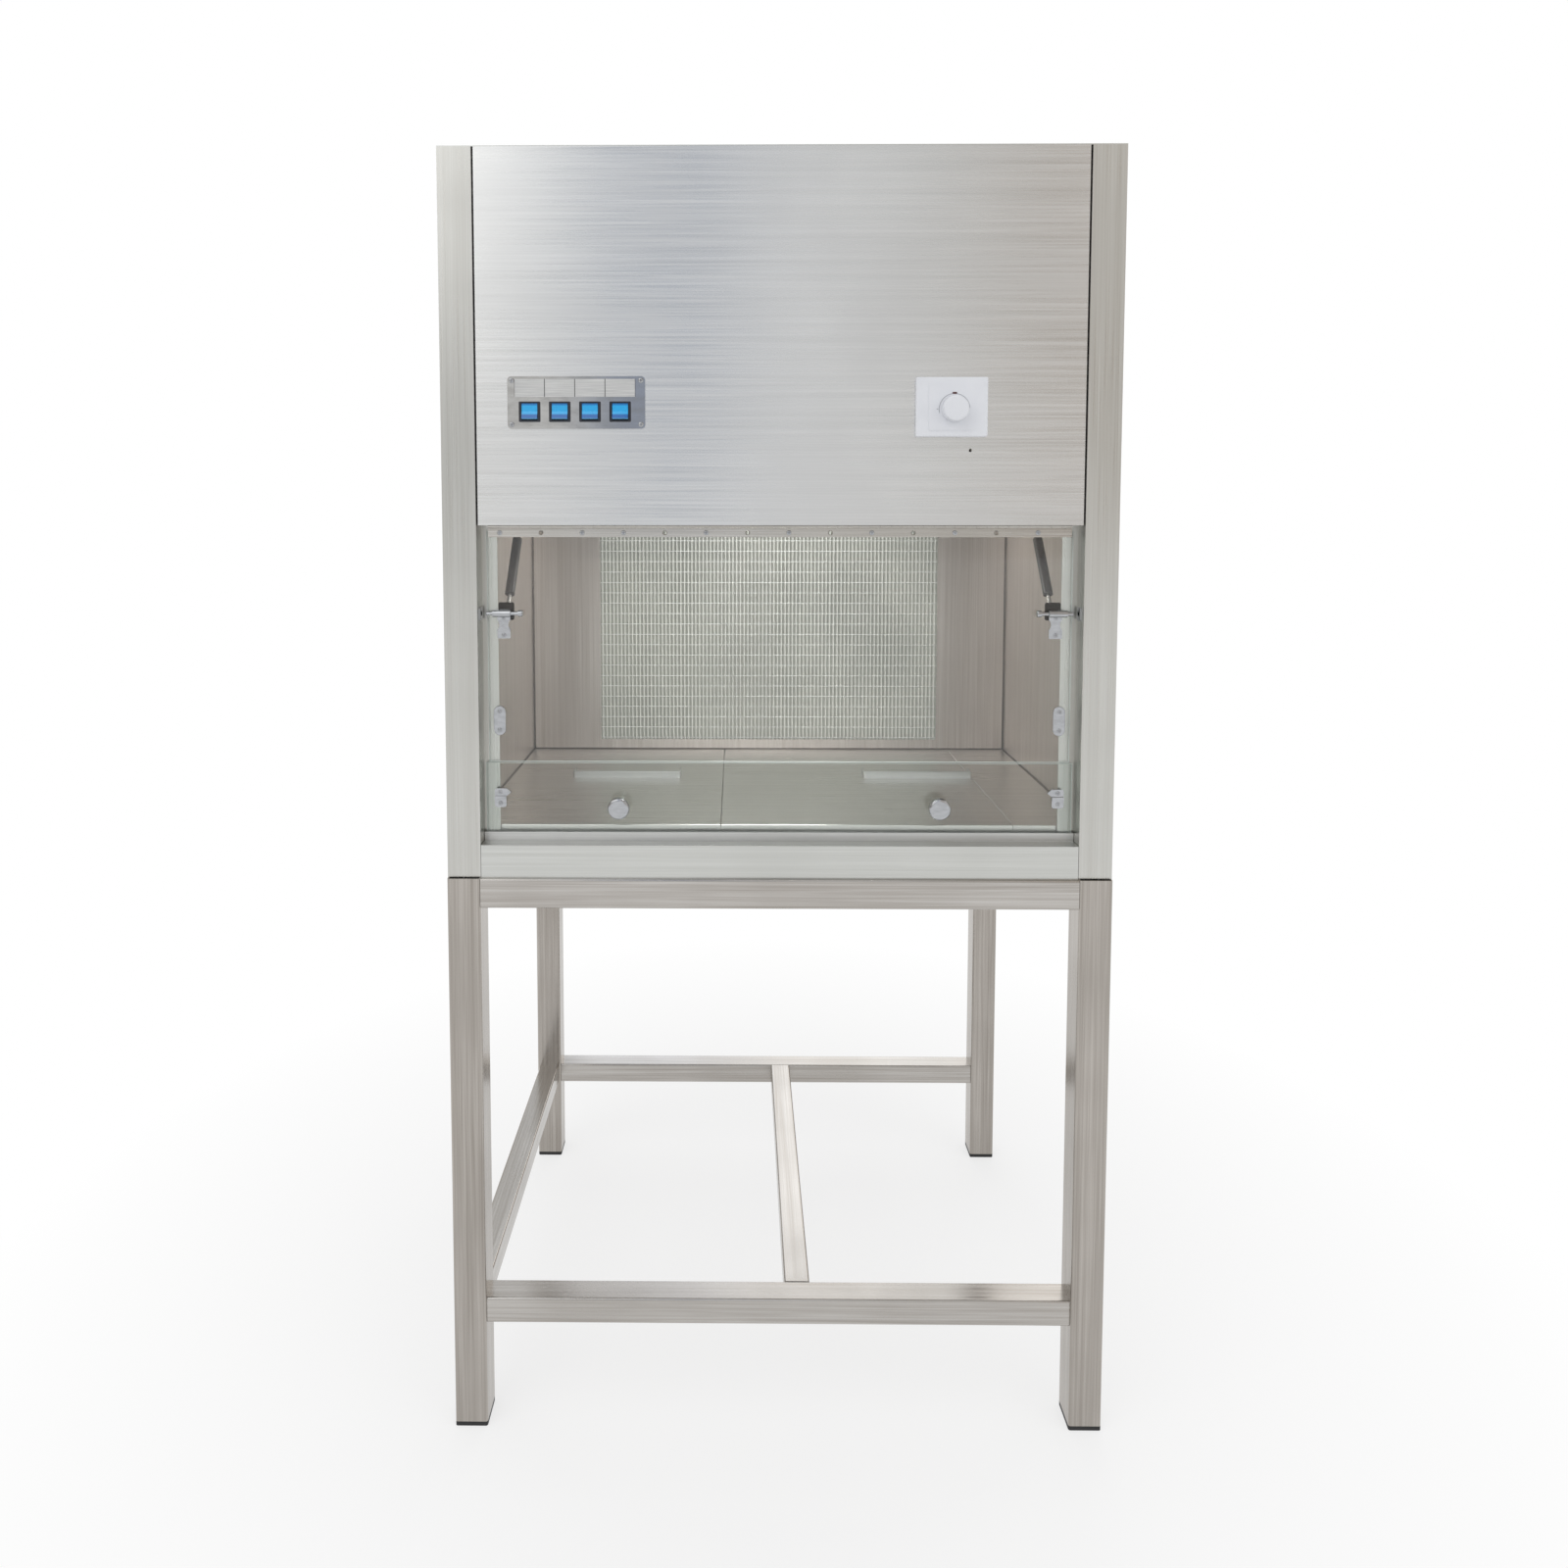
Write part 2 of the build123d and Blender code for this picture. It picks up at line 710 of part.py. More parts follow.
# Lights under the ceiling, behind the upper panel
batten_y = front + batten_setback
batten_bottom = ceiling_z - batten_height
lamp_z = batten_bottom - lamp_drop
lamps = ((fluorescent_length, batten_y - lamp_spacing / 2), (uv_length, batten_y + lamp_spacing / 2))
with BuildPart() as light_batten:
    with BuildSketch(level(batten_bottom)):
        with Locations((0, batten_y)):
            Rectangle(batten_length, batten_width)
    extrude(amount=batten_height)
    fillet(light_batten.edges().group_by(Axis.Z)[0].filter_by(Axis.X), batten_height / 3)
    for lamp_length, lamp_y in lamps:
        holder_face = lamp_length / 2 + holder_gap
        for holder_x in (-holder_face - holder_length, holder_face):
            with BuildSketch(across(holder_x)):
                with Locations((lamp_y, lamp_z)):
                    Circle(holder_tail)
                with Locations((lamp_y, (lamp_z + batten_bottom) / 2 + sheet / 2)):
                    Rectangle(holder_width, batten_bottom - lamp_z + sheet)
            extrude(amount=holder_length)
        for recess_x in (-holder_face - holder_recess, holder_face):
            with BuildSketch(across(recess_x)):
                with Locations((lamp_y, lamp_z)):
                    Rectangle(contact_pin_spread + 6.0, 2 * contact_pin_radius + 2.0)
            extrude(amount=holder_recess, mode=Mode.SUBTRACT)
save(light_batten.part, "light_batten")

for lamp_name, (lamp_length, lamp_y) in zip(("fluorescent_lamp", "uv_lamp"), lamps):
    with BuildPart() as lamp:
        with BuildSketch(across(-lamp_length / 2)):
            with Locations((lamp_y, lamp_z)):
                Circle(lamp_radius - cap_wall)
        extrude(amount=lamp_length)
        for cap_x in (-lamp_length / 2, lamp_length / 2 - cap_length):
            with BuildSketch(across(cap_x)):
                with Locations((lamp_y, lamp_z)):
                    Circle(lamp_radius)
            extrude(amount=cap_length)
        pin_reach = lamp_length / 2 + contact_pin_length
        with BuildSketch(across(-pin_reach)):
            with Locations((lamp_y, lamp_z)):
                with GridLocations(contact_pin_spread, 1, 2, 1):
                    Circle(contact_pin_radius)
        extrude(amount=2 * pin_reach)
    save(lamp.part, lamp_name)

# Blower: a scroll housing that stands on the shelf and blows down behind the filter
housing_left = blower_x - housing_width / 2
scroll_points = []
for step in range(scroll_arcs + 1):
    angle = tongue_angle * step / scroll_arcs
    radius = scroll_large + (scroll_small - scroll_large) * angle / tongue_angle
    scroll_points.append((blower_y + radius * cos(radians(angle)), blower_z + radius * sin(radians(angle))))
with BuildSketch() as scroll_outline:
    with BuildLine():
        scroll_arc = TangentArc(scroll_points[0], scroll_points[1], tangent=(0, 1))
        for point in scroll_points[2:]:
            scroll_arc = TangentArc(scroll_arc @ 1, point, tangent=scroll_arc % 1)
        Polyline(scroll_points[-1], (outlet_front, shelf_z), (outlet_back, shelf_z), scroll_points[0])
    make_face()

scroll_face = scroll_outline.sketch.face()
with BuildPart() as blower_housing:
    with BuildSketch(across(housing_left)):
        add(scroll_face)
    extrude(amount=housing_width)
    with BuildSketch(across(housing_left + sheet)):
        offset(scroll_face, amount=-sheet)
    extrude(amount=housing_width - 2 * sheet, mode=Mode.SUBTRACT)
    with BuildSketch(level(shelf_z)):
        with Locations((blower_x, outlet_mid)):
            Rectangle(housing_width + 2 * outlet_flange, outlet_length + 2 * outlet_flange)
    extrude(amount=sheet)
    with BuildSketch(level(shelf_z)):
        with Locations((blower_x, outlet_mid)):
            Rectangle(housing_width - 2 * sheet, outlet_length - 2 * sheet)
    extrude(amount=4 * sheet, mode=Mode.SUBTRACT)
    with BuildSketch(across(blower_x)):
        with Locations((blower_y, blower_z)):
            Circle(inlet_radius)
    extrude(amount=housing_width, mode=Mode.SUBTRACT)
    with BuildSketch(across(housing_left - sheet)):
        with Locations((blower_y, blower_z)):
            Circle(hub_radius)
    extrude(amount=3 * sheet, mode=Mode.SUBTRACT)
save(blower_housing.part, "blower_housing")

blade_middle = impeller_radius - blade_span / 2
blade_line = ThreePointArc((-blade_span / 2, -blade_rise / 2), (0, blade_rise / 2),
                           (blade_span / 2 - blade_thickness / 2, -blade_rise))
impeller_left = blower_x - impeller_width / 2
with BuildPart() as impeller:
    impeller_centre = Plane.YZ.offset(impeller_left).shift_origin((impeller_left, blower_y, blower_z))
    with BuildSketch(impeller_centre):
        Circle(impeller_radius + blade_thickness)
    extrude(amount=disc_thickness)
    with BuildSketch(impeller_centre.offset(disc_thickness)):
        with PolarLocations(blade_middle, blade_count):
            SlotArc(arc=blade_line, height=blade_thickness)
    extrude(amount=impeller_width - 2 * disc_thickness)
    with BuildSketch(impeller_centre.offset(impeller_width - disc_thickness)):
        Circle(impeller_radius + blade_thickness)
        Circle(impeller_radius - ring_width, mode=Mode.SUBTRACT)
    extrude(amount=disc_thickness)
    with BuildSketch(impeller_centre.offset(disc_thickness)):
        Circle(hub_radius)
    extrude(amount=hub_length)
    with BuildSketch(impeller_centre):
        Circle(shaft_radius + shaft_clearance)
    extrude(amount=disc_thickness + hub_length, mode=Mode.SUBTRACT)
save(impeller.part, "impeller")

shaft_reach = impeller_left + hub_length / 2 - housing_left
with BuildPart() as blower_motor:
    with BuildSketch(Plane(origin=(housing_left, blower_y, blower_z), x_dir=(0, 1, 0), z_dir=(0, 0, 1))):
        with BuildLine():
            Polyline((0, -shaft_reach), (shaft_radius, -shaft_reach), (shaft_radius, 0),
                     (motor_flange_radius, 0), (motor_flange_radius, motor_flange),
                     (motor_radius, motor_flange), (motor_radius, motor_length / 3),
                     (motor_radius - motor_groove, motor_length / 3),
                     (motor_radius - motor_groove, 2 * motor_length / 3),
                     (motor_radius, 2 * motor_length / 3), (motor_radius, motor_length - 8),
                     (motor_radius - 8, motor_length), (0, motor_length), close=True)
        make_face()
    revolve(axis=Axis((housing_left, blower_y, blower_z), (1, 0, 0)), revolution_arc=360)
save(blower_motor.part, "blower_motor")

with BuildPart() as prefilter:
    with BuildSketch(upright(rear_panel_y)):
        with Locations((prefilter_x, prefilter_z)):
            Rectangle(prefilter_width, prefilter_height)
            Rectangle(prefilter_width - 2 * prefilter_frame, prefilter_height - 2 * prefilter_frame,
                      mode=Mode.SUBTRACT)
    extrude(amount=prefilter_depth)
    with BuildSketch(level(prefilter_z - prefilter_height / 2 + prefilter_frame)):
        media_left = prefilter_x - prefilter_width / 2 + prefilter_frame
        media_right = prefilter_x + prefilter_width / 2 - prefilter_frame
        with BuildLine():
            Polyline(*pleat_outline(media_left, media_right, rear_panel_y - prefilter_depth + 2.0,
                                    rear_panel_y - 2.0, prefilter_pitch, 2 * pleat_tip, prefilter_media),
                     close=True)
        make_face()
    extrude(amount=prefilter_height - 2 * prefilter_frame)
save(prefilter.part, "prefilter")

# Cable gland in the rear panel: lock nut inside, nut and dome outside
gland_face = rear_panel_y + sheet
with BuildPart() as cable_gland:
    with BuildSketch(upright(gland_face)):
        with Locations((gland_x, gland_z)):
            Circle(gland_thread)
    extrude(amount=sheet)
    with BuildSketch(upright(rear_panel_y)):
        with Locations((gland_x, gland_z)):
            RegularPolygon(gland_nut, 6)
    extrude(amount=5)
    gland_dome = back + gland_reach - gland_face
    with BuildSketch(upright(gland_face + gland_dome / 2)):
        with Locations((gland_x, gland_z)):
            RegularPolygon(gland_nut, 6)
    extrude(amount=gland_dome / 2)
    with BuildSketch(upright(back + gland_reach)):
        with Locations((gland_x, gland_z)):
            Circle(gland_thread)
    extrude(amount=gland_dome / 2)
    chamfer(cable_gland.edges().group_by(Axis.Y)[-1], 2.0)
    with BuildSketch(upright(back + gland_reach)):
        with Locations((gland_x, gland_z)):
            Circle(gland_bore)
    extrude(amount=gland_reach + 20, mode=Mode.SUBTRACT)
save(cable_gland.part, "cable_gland")

# Controls on the upper panel
switch_xs = [switch_mid_x + switch_pitch * (number - 1.5) for number in range(4)]
switch_spots = [(x, switch_z) for x in switch_xs]
with BuildPart() as switch_plate:
    with BuildSketch(upright(front)):
        with Locations((switch_plate_x, switch_plate_z)):
            RectangleRounded(switch_plate_width, switch_plate_height, switch_plate_radius)
        with Locations(*switch_spots):
            Rectangle(switch_body_width + 2 * switch_clearance, switch_body_height + 2 * switch_clearance,
                      mode=Mode.SUBTRACT)
    extrude(amount=sheet)
save(switch_plate.part, "switch_plate")

bezel_back = front - sheet
bezel_front = bezel_back - bezel_thickness
pivot_y = bezel_front + pivot_behind_bezel
cavity_half_width = rocker_width / 2 + rocker_side_gap
crown_reach = hypot(rocker_half, rocker_crown)
crown_angle = degrees(atan2(rocker_crown, rocker_half)) - rocker_tilt
cavity_half_height = crown_reach * cos(radians(crown_angle)) + rocker_end_gap
root_reach = hypot(rocker_root, rocker_root)
cavity_back = pivot_y + root_reach + rocker_end_gap
with BuildPart() as switch_bodies:
    with BuildSketch(upright(bezel_back)):
        with Locations(*switch_spots):
            RectangleRounded(bezel_width, bezel_height, 1.5)
    extrude(amount=bezel_thickness)
    chamfer(switch_bodies.edges().group_by(Axis.Y)[0], 0.8)
    with BuildSketch(upright(bezel_back + switch_body_depth)):
        with Locations(*switch_spots):
            Rectangle(switch_body_width, switch_body_height)
    extrude(amount=switch_body_depth)
    with BuildSketch(upright(cavity_back)):
        with Locations(*switch_spots):
            Rectangle(2 * cavity_half_width, 2 * cavity_half_height)
    extrude(amount=cavity_back - bezel_front + 1.0, mode=Mode.SUBTRACT)
    for socket_x in switch_xs:
        socket_half = cavity_half_width + trunnion_length
        with BuildSketch(across(socket_x - socket_half)):
            with Locations((pivot_y, switch_z)):
                Circle(trunnion_radius + pin_clearance)
        extrude(amount=2 * socket_half, mode=Mode.SUBTRACT)
    terminal_places = [(x + side, switch_z) for x in switch_xs for side in (-7.0, 7.0)]
    with BuildSketch(upright(bezel_back + switch_body_depth + 9.0)):
        with Locations(*terminal_places):
            Rectangle(0.8, 6.3)
    extrude(amount=9.0)
save(switch_bodies.part, "switch_bodies")

tilt_sin = sin(radians(rocker_tilt))
tilt_cos = cos(radians(rocker_tilt))
for number, rocker_x in enumerate(switch_xs, start=1):
    with BuildPart() as rocker:
        rocker_plane = Plane(origin=(rocker_x - rocker_width / 2, pivot_y, switch_z),
                             x_dir=(0, tilt_sin, tilt_cos), z_dir=(1, 0, 0))
        with BuildSketch(rocker_plane):
            with BuildLine():
                Polyline((rocker_half, rocker_crown), (0, rocker_waist), (-rocker_half, rocker_crown),
                         (-rocker_half + 0.3, 0), (-rocker_root, -rocker_root),
                         (rocker_root, -rocker_root), (rocker_half - 0.3, 0), close=True)
            make_face()
        extrude(amount=rocker_width)
        trunnion_reach = rocker_width / 2 + rocker_side_gap + trunnion_length - 2 * pin_clearance
        with BuildSketch(across(rocker_x - trunnion_reach)):
            with Locations((pivot_y, switch_z)):
                Circle(trunnion_radius)
        extrude(amount=2 * trunnion_reach)
    save(rocker.part, f"rocker_{number}")

dial_front = front - dial_thickness
with BuildPart() as dial_plate:
    with BuildSketch(upright(front)):
        with Locations((dial_x, dial_z)):
            RectangleRounded(dial_width, dial_height, 2.5)
    extrude(amount=dial_thickness - dial_square_rise)
    fillet(dial_plate.edges().group_by(Axis.Y)[0], 2.0)
    with BuildSketch(upright(dial_front + dial_square_rise)):
        with Locations((dial_x, dial_z)):
            RectangleRounded(dial_square, dial_square, 1.5)
    extrude(amount=dial_square_rise)
    with BuildSketch(upright(front + dial_box_depth)):
        with Locations((dial_x, dial_z)):
            RectangleRounded(dial_box, dial_box, 3.0)
    extrude(amount=dial_box_depth)
    with BuildSketch(upright(dial_front + knob_shaft_length + knob_gap)):
        with Locations((knob_x, knob_z)):
            Circle(knob_shaft_radius + shaft_clearance)
    extrude(amount=knob_shaft_length + knob_gap, mode=Mode.SUBTRACT)
save(dial_plate.part, "dial_plate")

knob_front = front - knob_reach
knob_back = dial_front - knob_gap
with BuildPart() as dial_knob:
    with BuildSketch(upright(knob_back)):
        with Locations((knob_x, knob_z)):
            Circle(knob_radius)
    extrude(amount=knob_back - knob_front)
    fillet(dial_knob.edges().group_by(Axis.Y)[0], 3.0)
    with BuildSketch(upright(knob_back + knob_shaft_length)):
        with Locations((knob_x, knob_z)):
            Circle(knob_shaft_radius)
    extrude(amount=knob_shaft_length)
save(dial_knob.part, "dial_knob")

# Piano hinge: two leaves with interleaved knuckles round one pin
knuckle_length = 2 * hinge_half / knuckle_count
bore_radius = pin_radius + pin_clearance
hole_xs = [-hinge_half + first_hole + hole_pitch * number for number in range(hole_count)]
leaf_top = hinge_z + knuckle_radius
with BuildPart() as hinge_fixed_leaf:
    with BuildSketch(level(leaf_top - leaf_thickness)):
        leaf_front = hinge_y + leaf_root
        leaf_split = jamb_y - 1.0
        with Locations((0, (leaf_front + leaf_split) / 2)):
            Rectangle(2 * hinge_half, leaf_split - leaf_front)
        with Locations((0, (leaf_split + hinge_y + fixed_leaf_depth) / 2)):
            Rectangle(2 * clear_half, hinge_y + fixed_leaf_depth - leaf_split)
    extrude(amount=leaf_thickness)
    for number in range(0, knuckle_count, 2):
        with BuildSketch(across(-hinge_half + number * knuckle_length + knuckle_gap / 2)):
            with Locations((hinge_y, hinge_z)):
                Circle(knuckle_radius)
            with Locations((hinge_y + leaf_root / 2, leaf_top - leaf_thickness / 2)):
                Rectangle(leaf_root, leaf_thickness)
            with Locations((hinge_y, hinge_z)):
                Circle(bore_radius, mode=Mode.SUBTRACT)
        extrude(amount=knuckle_length - knuckle_gap)
save(hinge_fixed_leaf.part, "hinge_fixed_leaf")

with BuildPart() as hinge_moving_leaf:
    with BuildSketch(upright(glass_front)):
        plate_top = hinge_z - leaf_root
        with Locations((0, plate_top - leaf_height / 2)):
            Rectangle(2 * hinge_half, leaf_height)
    extrude(amount=leaf_thickness)
    for number in range(1, knuckle_count, 2):
        with BuildSketch(across(-hinge_half + number * knuckle_length + knuckle_gap / 2)):
            with Locations((hinge_y, hinge_z)):
                Circle(knuckle_radius)
            with Locations((glass_front - leaf_thickness / 2, hinge_z - leaf_root / 2)):
                Rectangle(leaf_thickness, leaf_root)
            with Locations((hinge_y, hinge_z)):
                Circle(bore_radius, mode=Mode.SUBTRACT)
        extrude(amount=knuckle_length - knuckle_gap)
    with Locations(Plane(origin=(0, glass_front - leaf_thickness, plate_top - leaf_height / 2),
                         x_dir=(1, 0, 0), z_dir=(0, -1, 0))):
        with Locations(*[(x, 0) for x in hole_xs]):
            CounterSinkHole(hole_radius, countersink_radius)
save(hinge_moving_leaf.part, "hinge_moving_leaf")

with BuildPart() as hinge_pin:
    with BuildSketch(across(-hinge_half)):
        with Locations((hinge_y, hinge_z)):
            Circle(pin_radius)
    extrude(amount=2 * hinge_half)
save(hinge_pin.part, "hinge_pin")

# Sash and lower glass, the channel that the lower glass stands in
with BuildPart() as sash_glass:
    with BuildSketch(upright(glass_back)):
        with Locations((0, (sash_bottom + sash_top) / 2)):
            Rectangle(2 * sash_half, sash_height)
    extrude(amount=glass_thickness)
    chamfer(sash_glass.edges().group_by(Axis.Y)[0] + sash_glass.edges().group_by(Axis.Y)[-1], glass_edge)
save(sash_glass.part, "sash_glass")

with BuildPart() as lower_glass:
    with BuildSketch(upright(glass_back)):
        with Locations((0, (lower_glass_bottom + lower_glass_top) / 2)):
            Rectangle(2 * lower_glass_half, lower_glass_height)
    extrude(amount=glass_thickness)
    chamfer(lower_glass.edges().group_by(Axis.Y)[0] + lower_glass.edges().group_by(Axis.Y)[-1], glass_edge)
    with BuildSketch(upright(glass_back)):
        with Locations((-pull_x, pull_z), (pull_x, pull_z)):
            Circle(pull_shank + seam)
    extrude(amount=glass_thickness, mode=Mode.SUBTRACT)
save(lower_glass.part, "lower_glass")

channel_front = glass_front - channel_clearance - channel_wall
channel_back = glass_back + channel_clearance + channel_wall
with BuildPart() as glass_channel:
    with BuildSketch(across(-sill_half)):
        with Locations(((channel_front + channel_back) / 2, sill_top + channel_height / 2)):
            Rectangle(channel_back - channel_front, channel_height)
        with Locations(((channel_front + channel_back) / 2, sill_top + channel_height / 2 + channel_floor)):
            Rectangle(channel_back - channel_front - 2 * channel_wall, channel_height, mode=Mode.SUBTRACT)
    extrude(amount=2 * sill_half)
save(glass_channel.part, "glass_channel")

# Pull knobs: knob in front, shank through the glass, washer behind
with BuildPart() as pull_knobs:
    knob_plane = Plane(origin=(pull_x, glass_front, pull_z), x_dir=(1, 0, 0), z_dir=(0, 0, 1))
    with BuildSketch(knob_plane):
        with BuildLine():
            Line((0, -pull_length), (pull_radius - pull_round, -pull_length))
            TangentArc((pull_radius - pull_round, -pull_length), (pull_radius, -pull_length + pull_round),
                       tangent=(1, 0))
            Polyline((pull_radius, -pull_length + pull_round), (pull_radius, -pull_length + 2 * pull_round),
                     (pull_neck, -pull_length / 3), (pull_neck + 2.0, 0), (pull_shank, 0),
                     (pull_shank, glass_thickness), (pull_washer, glass_thickness),
                     (pull_washer, glass_thickness + pull_washer_thickness),
                     (0, glass_thickness + pull_washer_thickness), (0, -pull_length))
        make_face()
    revolve(axis=Axis((pull_x, glass_front, pull_z), (0, 1, 0)), revolution_arc=360)
    mirror(about=Plane.YZ)
save(pull_knobs.part, "pull_knobs")

# Clips at the ends of the lower glass
with BuildPart() as lower_clips:
    with BuildSketch(upright(glass_front)):
        with Locations((plate_x, clip_z)):
            RectangleRounded(catch_width, clip_height, 4.0)
        nose_z = clip_z + clip_hole_spread / 2
        nose_x = plate_x - catch_width / 2
        with BuildLine():
            Polyline((nose_x + 1.0, nose_z + clip_nose), (nose_x - clip_nose, nose_z),
                     (nose_x + 1.0, nose_z - clip_nose), close=True)
        make_face()
        with Locations((plate_x, clip_z + clip_hole_spread / 2), (plate_x, clip_z - clip_hole_spread / 2)):
            Circle(screw_hole, mode=Mode.SUBTRACT)
    extrude(amount=plate_thickness)
    with BuildSketch(upright(glass_front - plate_thickness)):
        with Locations((plate_x, clip_z)):
            Rectangle(catch_width, clip_band)
    extrude(amount=plate_thickness)
    mirror(about=Plane.YZ)
save(lower_clips.part, "lower_clips")

# Round-ended plates on the sash
with BuildPart() as catch_plates:
    with BuildSketch(upright(glass_front)):
        with Locations((plate_x, catch_z)):
            SlotOverall(catch_height, catch_width, rotation=90)
        with Locations((plate_x, catch_z + catch_hole_spread / 2), (plate_x, catch_z - catch_hole_spread / 2)):
            Circle(screw_hole, mode=Mode.SUBTRACT)
    extrude(amount=plate_thickness)
    chamfer(catch_plates.edges().group_by(Axis.Y)[0].sort_by(SortBy.LENGTH)[2:], plate_thickness / 4)
    mirror(about=Plane.YZ)
save(catch_plates.part, "catch_plates")

# Tower bolts: barrel on a waisted plate, sliding pin with its knob, keeper on the post
with BuildPart() as bolt_barrels:
    with BuildSketch(upright(glass_front)):
        with Locations((bolt_plate_x, bolt_plate_z)):
            RectangleRounded(bolt_plate_width, bolt_plate_height, 2.0)
        waist_circle = bolt_plate_height / 4
        waist_centre = bolt_plate_width / 2 - bolt_waist + waist_circle
        with Locations((bolt_plate_x - waist_centre, bolt_plate_z - 1.0),
                       (bolt_plate_x + waist_centre, bolt_plate_z - 1.0)):
            Circle(waist_circle, mode=Mode.SUBTRACT)
        with Locations((bolt_plate_x, bolt_plate_z + 10.0), (bolt_plate_x, bolt_plate_z - 16.5)):
            Circle(screw_hole, mode=Mode.SUBTRACT)
    extrude(amount=bolt_plate)
    with BuildSketch(across(barrel_inner_x)):
        with Locations((bolt_y, bolt_z)):
            Circle(barrel_radius)
        with Locations(((bolt_y + glass_front) / 2, bolt_z)):
            Rectangle(glass_front - bolt_y, 2 * barrel_radius - 2.0)
        with Locations((bolt_y, bolt_z)):
            Circle(bolt_pin_radius + bolt_clearance, mode=Mode.SUBTRACT)
    extrude(amount=barrel_outer_x - barrel_inner_x)
    mirror(about=Plane.YZ)
save(bolt_barrels.part, "bolt_barrels")

knob_outer_x = barrel_inner_x - bolt_travel - 0.5
with BuildPart() as bolt_pin_right:
    with BuildSketch(across(knob_outer_x - bolt_knob_length)):
        with Locations((bolt_y, bolt_z)):
            Circle(bolt_knob_radius)
    extrude(amount=bolt_knob_length)
    fillet(bolt_pin_right.edges().group_by(Axis.X)[0], 1.5)
    with BuildSketch(across(knob_outer_x)):
        with Locations((bolt_y, bolt_z)):
            Circle(bolt_pin_radius)
    extrude(amount=sash_half - knob_outer_x)
    chamfer(bolt_pin_right.edges().group_by(Axis.X)[-1], 0.8)
save(bolt_pin_right.part, "bolt_pin_right")

with BuildPart() as bolt_pin_left:
    mirror(bolt_pin_right.part, about=Plane.YZ)
save(bolt_pin_left.part, "bolt_pin_left")

with BuildPart() as bolt_keepers:
    with BuildSketch(across(opening_half - keeper_thickness)):
        with Locations((bolt_y, bolt_z)):
            RectangleRounded(keeper_width, keeper_height, 2.0)
            Circle(strike_hole, mode=Mode.SUBTRACT)
    extrude(amount=keeper_thickness)
    mirror(about=Plane.YZ)
save(bolt_keepers.part, "bolt_keepers")

# Lid stays
stay_sash_y = hinge_y + stay_sash_back
stay_sash_z = hinge_z - stay_sash_drop
stay_wall_y = hinge_y + stay_wall_back
stay_wall_z = hinge_z - stay_wall_drop
stay_length = hypot(stay_wall_y - stay_sash_y, stay_wall_z - stay_sash_z)
stay_run = (0, (stay_sash_y - stay_wall_y) / stay_length, (stay_sash_z - stay_wall_z) / stay_length)
from_wall = Plane(origin=(stay_x, stay_wall_y, stay_wall_z), x_dir=(1, 0, 0), z_dir=stay_run)

with BuildPart() as stay_cylinder_right:
    with BuildSketch(from_wall):
        Circle(stay_rod + 1.0)
    extrude(amount=stay_tube_start + 2.0)
    with BuildSketch(from_wall.offset(stay_tube_start)):
        Circle(stay_cylinder)
    extrude(amount=stay_tube_end - stay_tube_start)
    with BuildSketch(from_wall.offset(stay_tube_start + 2.0)):
        Circle(stay_bore)
    extrude(amount=stay_tube_end - stay_guide - stay_tube_start - 2.0, mode=Mode.SUBTRACT)
    with BuildSketch(from_wall.offset(stay_tube_end - stay_guide - 1.0)):
        Circle(stay_rod + stay_pin_clearance)
    extrude(amount=stay_guide + 2.0, mode=Mode.SUBTRACT)
    with BuildSketch(across(stay_x - stay_eye_width / 2)):
        with Locations((stay_wall_y, stay_wall_z)):
            Circle(stay_eye)
    extrude(amount=stay_eye_width)
    with BuildSketch(across(stay_x - stay_eye_width / 2)):
        with Locations((stay_wall_y, stay_wall_z)):
            Circle(stud_radius + stay_pin_clearance)
    extrude(amount=stay_eye_width, mode=Mode.SUBTRACT)
save(stay_cylinder_right.part, "stay_cylinder_right")

with BuildPart() as stay_cylinder_left:
    mirror(stay_cylinder_right.part, about=Plane.YZ)
save(stay_cylinder_left.part, "stay_cylinder_left")

with BuildPart() as stay_rod_right:
    with BuildSketch(from_wall.offset(stay_piston_start)):
        Circle(stay_bore - stay_piston_gap)
    extrude(amount=stay_piston)
    with BuildSketch(from_wall.offset(stay_piston_start + stay_piston)):
        Circle(stay_rod)
    extrude(amount=stay_length - stay_piston_start - stay_piston)
    with BuildSketch(across(stay_x - stay_rod_eye_width / 2)):
        with Locations((stay_sash_y, stay_sash_z)):
            Circle(stay_rod_eye)
    extrude(amount=stay_rod_eye_width)
    with BuildSketch(across(stay_x - stay_rod_eye_width)):
        with Locations((stay_sash_y, stay_sash_z)):
            Circle(stay_pin + stay_pin_clearance)
    extrude(amount=2 * stay_rod_eye_width, mode=Mode.SUBTRACT)
save(stay_rod_right.part, "stay_rod_right")

with BuildPart() as stay_rod_left:
    mirror(stay_rod_right.part, about=Plane.YZ)
save(stay_rod_left.part, "stay_rod_left")

